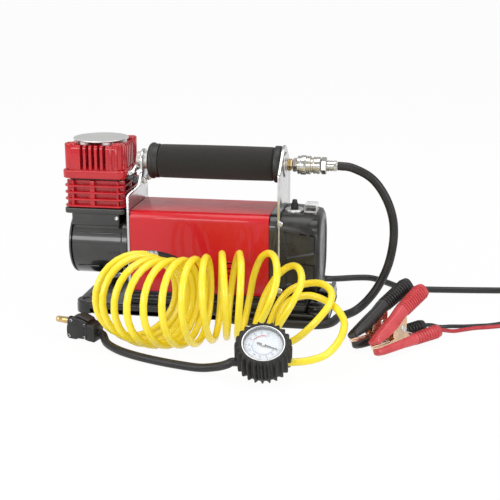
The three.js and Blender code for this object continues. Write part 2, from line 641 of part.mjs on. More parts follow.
const windowRadius = CAN_RADIUS - 8;
function bracket(left, step, sheet) {
  const width = Math.abs(step) + PLATE + 4;
  const blank = raise(sheet, width * 2, 10).applyMatrix4(toYZ).translate(left - width, 0, 0);
  const bend = coverTop + 16;
  const edge = outline([
    [left, coverBottom - 1], [left + PLATE, coverBottom - 1], [left + PLATE, bend],
    [left + PLATE + step, bend + Math.abs(step)], [left + PLATE + step, HANDLE_HEIGHT + 40],
    [left + step, HANDLE_HEIGHT + 40], [left + step, bend + Math.abs(step) + 1], [left, bend + 1],
  ]);
  const folded = raise(edge, COVER_WIDTH + 10).applyMatrix4(toXZ).translate(0, COVER_WIDTH / 2 + 5, 0);
  const tubeHole = bar('x', HANDLE_TUBE_RADIUS + GAP, left - width, left + width * 2, [0, 0, HANDLE_HEIGHT]);
  const shaftHole = bar('x', windowRadius, left - width, left + width, [0, 0, axisHeight]);
  return cut(common(blank, folded), tubeHole, shaftHole);
}
add('left_bracket', bracket(leftPlateLeft, JOGGLE, lugOutline()), CHROME, 0.2, 1);
add('right_bracket', bracket(rightPlateLeft, 0, plateOutline()), CHROME, 0.2, 1);

// ---- end cap with switch and reset button --------------------------------------------
const capTop = coverTop;
const buttonHole = BUTTON_RADIUS + RUN;
const switchLevel = capTop + GAP;

function endCap() {
  const depth = CAP_LENGTH - CAP_BEVEL * 2;
  const outer = raise(roundedOutline(COVER_WIDTH, COVER_HEIGHT, CAP_CORNER), depth, 4, CAP_BEVEL);
  outer.applyMatrix4(toYZ).translate(capLeft + CAP_BEVEL, 0, axisHeight);
  const root = raise(roundedOutline(COVER_WIDTH, COVER_HEIGHT, CAP_CORNER), CAP_LENGTH / 2);
  root.applyMatrix4(toYZ).translate(capLeft, 0, axisHeight);
  const hollowEdge = roundedOutline(COVER_WIDTH - CAP_WALL * 2, COVER_HEIGHT - CAP_WALL * 2,
    CAP_CORNER - CAP_WALL);
  const hollow = raise(hollowEdge, CAP_LENGTH - CAP_BEVEL - CAP_WALL).applyMatrix4(toYZ);
  hollow.translate(capLeft - 1, 0, axisHeight);
  const stemHole = bar('z', buttonHole, capTop - 8, capTop + 1, [BUTTON_X, BUTTON_Y, 0], 20);
  const w = SWITCH_WIDTH / 2 - 1;
  const d = SWITCH_DEPTH / 2 - 1;
  const switchHole = block(SWITCH_X - w, SWITCH_X + w, SWITCH_Y - d, SWITCH_Y + d, capTop - 8, capTop + 1);
  const glandHole = bar('y', GLAND_RADIUS + GAP, 10, COVER_WIDTH, [GLAND_X, 0, GLAND_Z], 16);
  return cut(join(outer, root), hollow, stemHole, switchHole, glandHole);
}
add('end_cap', endCap(), BLACK, 0.5, 0);

add('button_ring', shell(solid(bar('z', BUTTON_RING_RADIUS, switchLevel, switchLevel + SWITCH_FRAME,
  [BUTTON_X, BUTTON_Y, 0], 32)).subtract(solid(bar('z', buttonHole, switchLevel - 1,
  switchLevel + SWITCH_FRAME + 1, [BUTTON_X, BUTTON_Y, 0], 20)))), CHROME, 0.3, 1);
add('reset_button', bar('z', BUTTON_RADIUS, capTop - 6, switchLevel + SWITCH_FRAME + BUTTON_HEIGHT,
  [BUTTON_X, BUTTON_Y, 0], 20, BUTTON_RADIUS * 0.85), BLACK, 0.5, 0);

const rockerPivot = switchLevel + SWITCH_FRAME - 2.4;
function switchBody() {
  const [w, d] = [SWITCH_WIDTH / 2, SWITCH_DEPTH / 2];
  const frame = block(SWITCH_X - w, SWITCH_X + w, SWITCH_Y - d, SWITCH_Y + d,
    switchLevel, switchLevel + SWITCH_FRAME);
  const neckW = w - 1 - GAP;
  const neckD = d - 1 - GAP;
  const neck = block(SWITCH_X - neckW, SWITCH_X + neckW, SWITCH_Y - neckD, SWITCH_Y + neckD,
    switchLevel - SWITCH_BODY_DEPTH, switchLevel + 1);
  const wellW = ROCKER_WIDTH / 2 + RUN;
  const wellD = ROCKER_DEPTH / 2 + 1;
  const well = block(SWITCH_X - wellW, SWITCH_X + wellW, SWITCH_Y - wellD, SWITCH_Y + wellD,
    rockerPivot - 4.6, switchLevel + SWITCH_FRAME + 1);
  return cut(join(frame, neck), well);
}
add('switch_body', switchBody(), 0xd9dadb, 0.4, 0);

function rocker() {
  const d = ROCKER_DEPTH / 2;
  const side = outline([[-d, 0.4], [-2.5, -2.2], [2.5, -2.2], [d, 0.4], [d, 3.4],
    [2, 1.8], [-2, 1.8], [-d, 3.4]]);
  const body = raise(side, ROCKER_WIDTH).applyMatrix4(toYZ).translate(-ROCKER_WIDTH / 2, 0, 0);
  return body.rotateX(THREE.MathUtils.degToRad(-ROCKER_TILT)).translate(SWITCH_X, SWITCH_Y, rockerPivot);
}
add('switch_rocker', rocker(), BLACK, 0.35, 0);

// ---- handle --------------------------------------------------------------------------
const gripRight = GRIP_LEFT + GRIP_LENGTH;
const tubeLeft = leftPlateLeft + JOGGLE - 2;
const tubeRight = rightPlateLeft + PLATE + 2;
add('handle_tube', pipe(HANDLE_TUBE_RADIUS, HANDLE_TUBE_RADIUS - 1.5, tubeLeft, tubeRight, 0, HANDLE_HEIGHT),
  STEEL, 0.3, 1);
const hugTube = HANDLE_TUBE_RADIUS + GAP;
add('foam_grip', pipe(GRIP_RADIUS, hugTube, GRIP_LEFT, gripRight, 0, HANDLE_HEIGHT), 0x202022, 0.9, 0);
function ring(left, right) {
  return turned([[left, hugTube], [left, RING_RADIUS - 1.5], [left + 1.5, RING_RADIUS],
    [right - 1.5, RING_RADIUS], [right, RING_RADIUS - 1.5], [right, hugTube], [left, hugTube]],
  0, HANDLE_HEIGHT, 24);
}
add('left_grip_ring', ring(GRIP_LEFT - GAP - LEFT_RING_WIDTH, GRIP_LEFT - GAP), RUBBER, 0.6, 0);
add('right_grip_ring', ring(gripRight + GAP, gripRight + GAP + RIGHT_RING_WIDTH), RUBBER, 0.6, 0);

// Air pipe from the side of the head to the hollow handle; it passes between the head and
// the stepped upper half of the left bracket.
const headSide = HEAD_CENTRE + HEAD_FLANGE_SIZE / 2;
const pipeLane = (headSide + leftPlateLeft + JOGGLE) / 2;
add('air_pipe', hose([
  [headSide + GAP * 2, -19, headBottom + 4], [headSide + 3, -18.6, headBottom + 4.2],
  [pipeLane, -15, headBottom + 6], [pipeLane, -8, HANDLE_HEIGHT - 4.5],
  [pipeLane + 0.2, -3, HANDLE_HEIGHT - 1], [tubeLeft - 1.8, -0.3, HANDLE_HEIGHT],
  [tubeLeft - GAP, 0, HANDLE_HEIGHT],
], AIR_PIPE, 16, 8), CHROME, 0.25, 1);

// ---- quick coupler -------------------------------------------------------------------
const nippleLeft = tubeRight + GAP;
const couplerLeft = nippleLeft + NIPPLE_LENGTH + GAP;
const noseLeft = couplerLeft + COUPLER_LENGTH;
const couplerRight = noseLeft + COUPLER_NOSE;
const sleeveRight = noseLeft - 2;
add('outlet_nipple', bar('x', 6.6, nippleLeft, nippleLeft + NIPPLE_LENGTH, [0, 0, HANDLE_HEIGHT], 6),
  0xc8b070, 0.3, 1);
add('coupler_body', turned([[couplerLeft, 0], [couplerLeft, COUPLER_RADIUS], [noseLeft, COUPLER_RADIUS],
  [noseLeft, COUPLER_NOSE_RADIUS], [couplerRight, COUPLER_NOSE_RADIUS], [couplerRight, 0]],
0, HANDLE_HEIGHT), CHROME, 0.25, 1);
const sleeveLeft = sleeveRight - SLEEVE_LENGTH;
const sleeveBore = COUPLER_RADIUS + RUN;
add('coupler_sleeve', turned([[sleeveLeft, sleeveBore], [sleeveLeft, SLEEVE_RADIUS - 1],
  [sleeveLeft + 1, SLEEVE_RADIUS], [sleeveRight - 1, SLEEVE_RADIUS], [sleeveRight, SLEEVE_RADIUS - 1],
  [sleeveRight, sleeveBore], [sleeveLeft, sleeveBore]], 0, HANDLE_HEIGHT), CHROME, 0.25, 1);
const plugLeft = couplerRight + GAP;
const ferruleRight = plugLeft + PLUG_HEX_LENGTH + FERRULE_LENGTH;
add('hose_plug', turned([[plugLeft, 0], [plugLeft, PLUG_HEX], [plugLeft + PLUG_HEX_LENGTH, PLUG_HEX],
  [plugLeft + PLUG_HEX_LENGTH, FERRULE_RADIUS], [ferruleRight, FERRULE_RADIUS], [ferruleRight, 0]],
0, HANDLE_HEIGHT, 18), STEEL, 0.3, 1);

// ---- leader hose and coiled hose -----------------------------------------------------
const leaderRoute = [
  [ferruleRight + GAP * 2, 0, HANDLE_HEIGHT],
  [ferruleRight + 5, 0, HANDLE_HEIGHT - 0.1], [159, 0, 155.6], [175.6, 0, 148], [187, 0, 137],
  [196.4, 0, 121.2], [202, 0, 104.2], [203.7, 0, 88.2], [202.6, 0, 71.7], [199, 0, 54], [193, -0.5, 38],
  [185.5, -3, 24.5], [176, -8, 13.2], [166.5, -15, 6.4], [157.5, -25, 4.7],
  [150.5, -35, 4.6], [147.6, -46, 4.6], [142, -55.5, 4.6], [132.5, -60.7, 4.6],
  [118, -62.2, 4.6], [98, -62.4, 4.6], [79, -62.4, 4.6], [60, -62, 4.6], [45, -61, 5.4],
  [32, -60.5, 10.5], [21, -61, 20], [13, -62.5, 34], [6, -66.5, 50], [0, -73.5, 61], [-5, -81, 68.5],
];
add('leader_hose', hose(leaderRoute, LEADER_HOSE, 40, 8), RUBBER, 0.6, 0);

// The turns of the coil, left to right: centre, and how far each turn is swung about Z.
// They stand on the ground; the last turns fan out and become the tail.
const coilTurns = [
  [-41.9, -117.2, -54], [-35.6, -123.8, -49], [-23.6, -134.8, -42], [-14.3, -139.2, -34],
  [-4, -138.2, -25], [7.1, -135.1, -16], [18.8, -130, -7], [29.8, -121.1, 2],
  [43.6, -105.8, 9],
];
const coilHeight = COIL_TURN_RADIUS + COIL_HOSE / 2 + 0.5;
function coilSolid() {
  const points = [];
  const reach = COIL_TURN_RADIUS + COIL_HOSE / 2;
  coilTurns.forEach(([x, y, swing], turnNumber) => {
    const angle = THREE.MathUtils.degToRad(swing);
    const front = [Math.sin(angle), -Math.cos(angle)];
    const thick = COIL_HOSE / 2;
    const sides = turnNumber === 0 ? [-thick, thick] : [thick];
    if (turnNumber === coilTurns.length - 1) sides[0] = -thick;
    for (const side of sides) {
      for (let i = 0; i < 16; i += 1) {
        const a = (i / 16) * Math.PI * 2;
        const out = Math.cos(a) * reach;
        points.push(new THREE.Vector3(x + front[0] * out + Math.cos(angle) * side,
          y + front[1] * out + Math.sin(angle) * side, coilHeight + Math.sin(a) * reach));
      }
    }
  });
  return new ConvexGeometry(points);
}
add('air_coil', coilSolid(), YELLOW, 0.35, 0);

// ---- gauge in its rubber guard -------------------------------------------------------
// Built facing +Z round the dial's axis, then laid back on the ground.
const gaugePlace = new THREE.Matrix4().makeTranslation(100.6, -206.7, 35.4)
  .multiply(new THREE.Matrix4().makeRotationZ(THREE.MathUtils.degToRad(GAUGE_SWING)))
  .multiply(new THREE.Matrix4().makeRotationX(THREE.MathUtils.degToRad(GAUGE_TILT)));
const manifoldY = -6;
const manifoldZ = -GUARD_DEPTH + MANIFOLD_RADIUS + GAP + 1;
const manifoldReach = GUARD_RADIUS + 1;

function spun(profile, sides = 32) {
  const points = profile.map(([radius, level]) => new THREE.Vector2(radius, level));
  return new THREE.LatheGeometry(points, sides).rotateX(Math.PI / 2);
}

function guard() {
  const wall = bar('z', GUARD_WALL_RADIUS, -GUARD_DEPTH, 0, [0, 0, 0], GUARD_RIBS);
  const ribs = [];
  for (let i = 0; i < GUARD_RIBS; i += 1) {
    const rib = block(GUARD_WALL_RADIUS - 1, GUARD_RADIUS, -1.1, 1.1, -GUARD_DEPTH + 1, -1);
    ribs.push(rib.rotateZ(((i + 0.5) / GUARD_RIBS) * Math.PI * 2));
  }
  const mouth = bar('z', GAUGE_RADIUS + GAP, -GAUGE_DEPTH, 1, [0, 0, 0], 28);
  const tunnel = bar('x', MANIFOLD_RADIUS + GAP, -GUARD_RADIUS - 1, GUARD_RADIUS + 1,
    [0, manifoldY, manifoldZ], 16);
  return cut(join(wall, ...ribs), mouth, tunnel);
}
add('gauge_guard', guard().applyMatrix4(gaugePlace), RUBBER, 0.7, 0);

function gaugeCase() {
  const rim = GAUGE_RADIUS;
  const window = GAUGE_RADIUS - 2.5;
  const body = spun([[0, GAP - GAUGE_DEPTH], [rim, GAP - GAUGE_DEPTH], [rim, 0.6], [rim - 1, 1.4],
    [window, 1.4], [window, -GAUGE_FACE], [0, -GAUGE_FACE]], 28);
  const spindle = bar('z', 0.9, -GAUGE_FACE - 0.5, -0.4, [0, 0, 0], 10);
  const manifold = bar('x', MANIFOLD_RADIUS, -manifoldReach, manifoldReach,
    [0, manifoldY, manifoldZ], 16);
  const stem = bar('z', 3, manifoldZ, 1 - GAUGE_DEPTH, [0, manifoldY, 0], 12);
  return join(body, spindle, manifold, stem);
}
add('gauge_case', gaugeCase().applyMatrix4(gaugePlace), CHROME, 0.3, 1);

function needle() {
  const blade = raise(outline([[-6, -1], [NEEDLE_LENGTH, -0.4], [NEEDLE_LENGTH, 0.4], [-6, 1]]), 0.7);
  const hub = bar('z', 2.4, 0, 0.7, [0, 0, 0], 16);
  const eye = bar('z', 0.9 + RUN, -1, 2, [0, 0, 0], 12);
  return cut(join(blade, hub), eye).rotateZ(THREE.MathUtils.degToRad(-22)).translate(0, 0, -1.7);
}
add('gauge_needle', needle().applyMatrix4(gaugePlace), 0x151515, 0.5, 0);

const onGauge = (x) => new THREE.Vector3(x, manifoldY, manifoldZ).applyMatrix4(gaugePlace).toArray();
const hoseGap = GAP + 0.3;

// The coil's last turns open out, wander over the ground and end at the gauge.
const tailRoute = [
  [60.6, -101.5, 86.2], [64.8, -120, 81.5], [67.2, -137, 63], [65.5, -141, 28], [62.8, -127, 9.5],
  [61.8, -110, 4.2], [61.3, -94, 7.5], [62.2, -82, 16.5], [64.5, -71, 34], [68.4, -69, 56.3],
  [77.5, -80, 78], [89.6, -100, 88.8], [98.9, -122, 86.9], [101.5, -138, 72.1],
  [95.4, -145, 50.7], [84, -138, 26], [77.5, -124, 9.8], [73.8, -109, 4.6], [73.6, -96, 8.6],
  [76.2, -87, 21.5], [82, -80.5, 40], [93.4, -78, 59.7], [107.6, -88, 73.2],
  [118.7, -105, 76.2], [123.1, -122, 67.5], [116.5, -135, 51.4], [105, -137, 31],
  [96, -126, 12.8], [89.6, -111, 4.8], [87.8, -98, 9.4], [91.2, -89, 22.5], [98, -83.5, 36.5],
  [107.7, -82, 47.3], [121.5, -84, 54.4], [138.1, -93, 58.8], [149.8, -106, 55.7],
  [150.2, -121, 47.1], [138, -132, 32], [121, -130, 14.5], [107.5, -119, 5.2],
  [99.5, -106, 8.2], [98.3, -97, 20.5], [103, -92, 33], [113.5, -91.5, 42.2],
  [129, -96, 46.8], [145.5, -106, 45.3], [158.6, -121, 41.5], [166.5, -142, 36.1],
  [164.5, -165, 28], [155.5, -183, 20.8], [143.5, -191.5, 17.5],
  [134.5, -194.2, 16.6], onGauge(manifoldReach + hoseGap + 4), onGauge(manifoldReach + hoseGap),
];
add('coil_tail', hose(tailRoute, COIL_HOSE, 68, 8), YELLOW, 0.35, 0);

// ---- tyre chuck ----------------------------------------------------------------------
// Built along +X with its stem to the left, then swung about Z.
const chuckPlace = new THREE.Matrix4().makeTranslation(-107.9, -121.9, 0.2)
  .multiply(new THREE.Matrix4().makeRotationZ(THREE.MathUtils.degToRad(CHUCK_SWING)));

function slabXZ(points, thickness) {
  return raise(outline(points), thickness).applyMatrix4(toXZ).translate(0, thickness / 2, 0);
}

function chuckBody() {
  const head = slabXZ([[0, 3], [2.5, 0], [10, 0], [13, 1.4], [24, 1.4], [24, 19.2], [20, 20.8],
    [13.5, 22.6], [6, 22.6], [2, 17.5], [0, 11]], CHUCK_THICKNESS);
  const tail = slabXZ([[23, 0.4], [CHUCK_LENGTH - 1, 0], [CHUCK_LENGTH, 1], [CHUCK_LENGTH, 16],
    [CHUCK_LENGTH - 2, 17.4], [23, 18.2]], CHUCK_THICKNESS + 1.6);
  const socket = bar('x', STEM_RADIUS + GAP, -1, 8, [0, 0, STEM_HEIGHT], 20);
  return cut(join(head, tail), socket);
}
add('chuck_body', chuckBody().applyMatrix4(chuckPlace), BLACK, 0.5, 0);

function chuckStem() {
  const rod = bar('x', STEM_RADIUS, -STEM_REACH, 8 - GAP, [0, 0, STEM_HEIGHT], 20);
  return cut(rod, bar('x', STEM_BORE, -STEM_REACH - 1, -3, [0, 0, STEM_HEIGHT], 20));
}
add('chuck_stem', chuckStem().applyMatrix4(chuckPlace), 0xc9a063, 0.35, 1);

add('chuck_lever', slabXZ([[10.5, 23], [13.6, 23], [20.2, 21.2], [24.4, 19.6], [25.2, 21],
  [20.6, 23.2], [13.8, 25.1], [10.5, 25.1]], CHUCK_THICKNESS - 4).applyMatrix4(chuckPlace),
0x232325, 0.45, 0.1);

const onChuck = (x, z) => new THREE.Vector3(x, 0, z).applyMatrix4(chuckPlace).toArray();
add('chuck_hose', hose([
  onChuck(CHUCK_LENGTH + hoseGap, 8), onChuck(CHUCK_LENGTH + 6, 7.2), [-62.5, -148, 4.6],
  [-47, -163, 4.2], [-27, -175, 4.2], [-5, -184, 4.2], [18, -191, 4.2], [40, -196.5, 4.8],
  [57, -202, 9.5], onGauge(-manifoldReach - hoseGap - 4), onGauge(-manifoldReach - hoseGap),
], CHUCK_HOSE, 22, 8), RUBBER, 0.6, 0);

// ---- power lead ----------------------------------------------------------------------
const backWall = COVER_WIDTH / 2;
const glandEnd = backWall + GLAND_LENGTH;
add('strain_relief', join(
  bar('y', GLAND_RADIUS, backWall - 5, backWall + 2, [GLAND_X, 0, GLAND_Z], 16),
  bar('y', LEAD_WIDTH / 2 + 0.4, backWall + 1, glandEnd, [GLAND_X, 0, GLAND_Z], 16, GLAND_RADIUS),
), RUBBER, 0.6, 0);
add('power_lead', hose([
  [GLAND_X, glandEnd + GAP * 2, GLAND_Z], [GLAND_X, glandEnd + 5, GLAND_Z - 0.2],
  [GLAND_X, 74, 38], [113, 82, 29], [115, 92, 15.5],
  [120, 99.5, 6.5], [128, 104.5, 3.8], [140, 108.5, 3.6], [155, 114], [171.6, 116.8], [184.6, 110],
  [197.6, 97], [208, 86.5], [222, 81.5], [239.6, 82.1], [262.8, 84.5], [292.5, 88.2],
  [322, 92.4], [340, 95.6], [354, 98.4], [362, 99.6],
].map(([x, y, z = 3.6]) => [x, y, z]), LEAD_WIDTH, 38, 8), RUBBER, 0.6, 0);

// The rest of the lead lies in a flat round coil.
const leadCoilAt = [388, 52];
const bundle = LEAD_COIL_BUNDLE / 2;
add('lead_coil', spun([[LEAD_COIL_RADIUS - bundle, GAP], [LEAD_COIL_RADIUS + bundle, GAP],
  [LEAD_COIL_RADIUS + bundle, LEAD_COIL_BUNDLE], [LEAD_COIL_RADIUS - bundle, LEAD_COIL_BUNDLE],
  [LEAD_COIL_RADIUS - bundle, GAP]]).translate(leadCoilAt[0], leadCoilAt[1], 0), RUBBER, 0.6, 0);

// ---- battery clamps ------------------------------------------------------------------
// Each clamp is built with its lower jaw's tip at the origin, its length along +X and its
// jaws opening towards +Z, then rolled on its side a little, aimed and laid on the ground.
function clampPlace([x, y, z], aim, pitch) {
  return new THREE.Matrix4().makeTranslation(x, y, z)
    .multiply(new THREE.Matrix4().makeRotationZ(THREE.MathUtils.degToRad(aim)))
    .multiply(new THREE.Matrix4().makeRotationY(THREE.MathUtils.degToRad(-pitch)))
    .multiply(new THREE.Matrix4().makeRotationX(THREE.MathUtils.degToRad(CLAMP_ROLL)));
}

function lowerLever(length) {
  const [px, pz] = CLAMP_PIVOT;
  const bar1 = bar('x', 5.2, px + 4, length, [0, 0, 0], 16, 6.8);
  const jaw = slabXZ([[0, 4.8], [1, -1], [8, -5], [px + 8, -5], [px + 8, 5], [px + 4, pz + 4],
    [px, pz + 5], [px - 3, pz + 4], [px - 12, 7], [px - 20, 4.8]], CLAMP_WIDTH);
  const outside = CLAMP_WIDTH / 2 + CLAMP_CHEEK + 0.9;
  const pin = bar('y', CLAMP_PIN, -outside, outside, [px, 0, pz], 16);
  return join(bar1, jaw, pin);
}

function upperLever(length) {
  const [px, pz] = CLAMP_PIVOT;
  const inner = CLAMP_WIDTH + RUN * 2;
  const outer = inner + CLAMP_CHEEK * 2;
  const side = [[0, 5.2], [px - 14, 5.2], [px - 8, 7.5], [px + 7, 8.5], [px + 14, 24], [px + 16, 34],
    [px + 7, 31], [0, 12]];
  const between = block(-1, px + 10, -inner / 2, inner / 2, -1, 50);
  const cheeks = solid(slabXZ(side, outer)).subtract(solid(between));
  const jaw = slabXZ([[0, 5.2], [px - 22, 5.2], [px - 22, 17.5], [0, 12]], outer);
  const grip = bar('x', 5.2, 0, length - px - 9, [0, 0, 0], 16, 6.8)
    .rotateY(THREE.MathUtils.degToRad(-21)).translate(px + 10, 0, 29);
  const hole = bar('y', CLAMP_PIN + RUN, -outer, outer, [px, 0, pz], 16);
  return cut(join(shell(cheeks), jaw, grip), hole);
}

const clamps = [
  { name: 'red_clamp', colour: 0xc2323a, length: 89, at: clampPlace([195.9, -135.7, 6.7], 49, 1.3) },
  { name: 'black_clamp', colour: 0x242426, length: 92, at: clampPlace([174, -120, 7], 45, 0.8) },
];
for (const { name, colour, length, at } of clamps) {
  add(`${name}_lower`, lowerLever(length).applyMatrix4(at), colour, 0.6, 0);
  add(`${name}_upper`, upperLever(length).applyMatrix4(at), colour, 0.6, 0);
}

const gripEnd = ({ length, at }) => new THREE.Vector3(length + hoseGap + 0.5, 0, 0)
  .applyMatrix4(at).toArray();
add('wire_red', hose([
  gripEnd(clamps[0]), [260, -61.5, 6.6], [268.5, -53, 3.4], [279, -44, 2.4], [290.2, -37, 2.3],
  [305, -31.5, 2.3], [320, -24, 2.3], [333, -15.5, 2.3], [345, -9, 2.3], [358, -6.2, 2.3],
], WIRE, 20, 8), 0xb02028, 0.5, 0);
add('wire_black', hose([
  gripEnd(clamps[1]), [246.5, -47, 6.4], [254.5, -41, 3], [266, -36, 2.4], [279, -33.5, 2.3],
  [292, -29.5, 2.3], [305, -25, 2.3], [318, -17, 2.3], [331, -9, 2.3], [344, -3.6, 2.3],
  [358, -1.2, 2.3],
], WIRE, 20, 8), BLACK, 0.5, 0);

export default group;
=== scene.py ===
"""Looks of a 12 V piston air compressor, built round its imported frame, in metres."""

import math

import bmesh
import bpy
from mathutils import Matrix, Vector


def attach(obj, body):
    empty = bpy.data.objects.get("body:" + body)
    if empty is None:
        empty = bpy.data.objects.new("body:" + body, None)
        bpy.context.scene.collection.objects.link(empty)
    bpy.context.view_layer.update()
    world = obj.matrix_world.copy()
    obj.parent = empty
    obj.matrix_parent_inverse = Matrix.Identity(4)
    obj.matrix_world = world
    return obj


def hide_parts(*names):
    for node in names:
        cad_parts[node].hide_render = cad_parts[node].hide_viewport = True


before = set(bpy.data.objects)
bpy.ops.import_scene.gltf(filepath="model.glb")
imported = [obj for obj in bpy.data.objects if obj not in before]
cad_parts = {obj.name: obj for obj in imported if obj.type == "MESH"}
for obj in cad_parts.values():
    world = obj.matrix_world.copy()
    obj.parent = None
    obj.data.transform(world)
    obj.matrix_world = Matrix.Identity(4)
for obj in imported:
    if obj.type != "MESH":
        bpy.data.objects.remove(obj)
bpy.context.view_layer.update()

# ---------------------------------------------------------------- camera
# Eye level a little above the grip, looking down on the front and the
# right-hand end of the machine through a long lens.
camera_data = bpy.data.cameras.new("camera")
camera_data.lens = 79.2
camera_data.sensor_width = 36
camera_data.shift_x = 0.004
camera_data.shift_y = -0.008
camera_data.clip_end = 50
camera = bpy.data.objects.new("camera", camera_data)
bpy.context.collection.objects.link(camera)
camera.location = (0.24873, -1.11258, 0.37465)
looking = Vector((-0.16956, 0.95000, -0.26219))
camera.rotation_euler = looking.to_track_quat("-Z", "Y").to_euler()
camera.rotation_euler.rotate_axis("Z", math.radians(-0.15))
bpy.context.scene.camera = camera


# ---------------------------------------------------------------- hoses and leads
# Rubber, polyurethane and vinyl covered lines, each one line on one smooth curve,
# round in section.  The routes are the frame's own, given in millimetres.
class Level:
    """One number that varies over a surface; it adds and multiplies like a plain number."""

    def __init__(self, shades, socket):
        self.shades = shades
        self.socket = socket

    def _do(self, operation, first, second):
        return self.shades.node("ShaderNodeMath", {"operation": operation}, {0: first, 1: second})

    def __add__(self, other):
        return self._do("ADD", self, other)

    def __radd__(self, other):
        return self._do("ADD", other, self)

    def __mul__(self, other):
        return self._do("MULTIPLY", self, other)

    def __rmul__(self, other):
        return self._do("MULTIPLY", other, self)


class Shades:
    """The shader nodes of one material, or of the room."""

    def __init__(self, owner):
        owner.use_nodes = True
        self.tree = owner.node_tree

    def node(self, kind, settings={}, inputs={}, output=0):
        made = self.tree.nodes.new(kind)
        for key, value in settings.items():
            setattr(made, key, value)
        for key, value in inputs.items():
            if isinstance(value, Level):
                self.tree.links.new(value.socket, made.inputs[key])
            else:
                made.inputs[key].default_value = value
        return Level(self, made.outputs[output])

    def given(self, node, output=0):
        """A level read from a node that is there already."""
        return Level(self, self.tree.nodes[node].outputs[output])

    def end_with(self, level, last_node):
        self.tree.links.new(level.socket, self.tree.nodes[last_node].inputs[0])


class Finish(Shades):
    """A material with one main shader, filled in by the piece that wears it."""

    def __init__(self, name, colour, roughness, **settings):
        self.material = bpy.data.materials.new(name)
        super().__init__(self.material)
        self.shader = self.tree.nodes["Principled BSDF"]
        self.colour = colour
        self.material.diffuse_color = (*colour, 1)
        self.shader.inputs["Base Color"].default_value = (*colour, 1)
        self.shader.inputs["Roughness"].default_value = roughness
        for socket, value in settings.items():
            self.shader.inputs[socket.replace("_", " ")].default_value = value
        self.place = self.node("ShaderNodeTexCoord", output="Object")

    def wear(self, socket, value):
        self.tree.links.new(value.socket, self.shader.inputs[socket])

    def noise(self, scale, detail=3.0, roughness=0.5, stretch=None):
        place = self.place
        if stretch:
            place = self.node("ShaderNodeMapping", inputs={"Vector": place, "Scale": stretch})
        return self.node("ShaderNodeTexNoise", inputs={
            "Vector": place, "Scale": scale, "Detail": detail, "Roughness": roughness})

    def cells(self, scale):
        return self.node("ShaderNodeTexVoronoi", inputs={"Vector": self.place, "Scale": scale})

    def blend(self, amount, low, high):
        return self.node("ShaderNodeMix", {"data_type": "RGBA"},
                         {0: amount, 6: (*low, 1), 7: (*high, 1)}, 2)

    def between(self, value, low, high):
        return self.node("ShaderNodeMapRange", inputs={0: value, 1: low, 2: high})

    def patches(self, marks, low, high):
        """Soft patches: nothing up to the low level of the marks, and whole from the high one."""
        return self.between(self.noise(*marks), low, high)

    def toned(self, mask, low, high):
        self.wear("Base Color", self.blend(mask, low, high))

    def relief(self, height, depth, strength):
        self.wear("Normal", self.node("ShaderNodeBump", inputs={
            "Height": height, "Distance": depth, "Strength": strength}))

    def grained(self, scale, detail, depth, strength, roughness=0.5):
        """A fine grain that stands up from the surface."""
        self.relief(self.noise(scale, detail, roughness), depth, strength)
        return self

    def mottled(self, scale, amount):
        """Base colour drifting lighter and darker in soft patches."""
        low = [c * (1 - amount) for c in self.colour]
        high = [min(1, c * (1 + amount)) for c in self.colour]
        self.toned(self.patches((scale,), 0.3, 0.7), low, high)
        return self

    def weathered(self, marks, low, high, smoothest, spread, edges=None, relief=None):
        """Tone and gloss follow one set of marks: patches where edges are given."""
        mask = self.patches(marks, *edges) if edges else self.noise(*marks)
        self.toned(mask, low, high)
        self.wear("Roughness", smoothest + mask * spread)
        if relief:
            self.relief(mask, *relief)
        return self


def millimetres(points):
    return [Vector(p) / 1000 for p in points]


def line_length(points):
    return round(sum((b - a).length for a, b in zip(points, points[1:])), 3)


def smooth_line(keys, steps=8):
    """Points on a smooth curve through the keys."""
    line = []
    last = len(keys) - 1
    for i in range(last):
        before, start, end, after = (keys[min(max(i + k, 0), last)] for k in (-1, 0, 1, 2))
        for k in range(steps):
            t = k / steps
            line.append(0.5 * (2 * start + (end - before) * t
                               + (2 * before - 5 * start + 4 * end - after) * t ** 2
                               + (3 * start - before - 3 * end + after) * t ** 3))
    return line + [keys[-1].copy()]


def settled(name, data, body="compressor", replaced=()):
    """Puts a finished shape on its body; it stands for the nodes named, or the one of its name."""
    made = bpy.data.objects.new(data.name, data)
    bpy.context.collection.objects.link(made)
    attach(made, body)
    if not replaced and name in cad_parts:
        replaced = [name]
    if replaced:
        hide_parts(*replaced)
    return made


def tube_along(name, line, diameter, finish, replaced=()):
    curve = bpy.data.curves.new(f"{name}_looks", "CURVE")
    curve.dimensions = "3D"
    curve.bevel_depth = diameter / 2
    curve.bevel_resolution = 6
    curve.use_fill_caps = True
    curve.resolution_u = 1
    spline = curve.splines.new("POLY")
    spline.points.add(len(line) - 1)
    for point, place in zip(spline.points, line):
        point.co = (*place, 1)
    spline.use_smooth = True
    curve.materials.append(finish.material)
    return settled(name, curve, replaced=replaced)


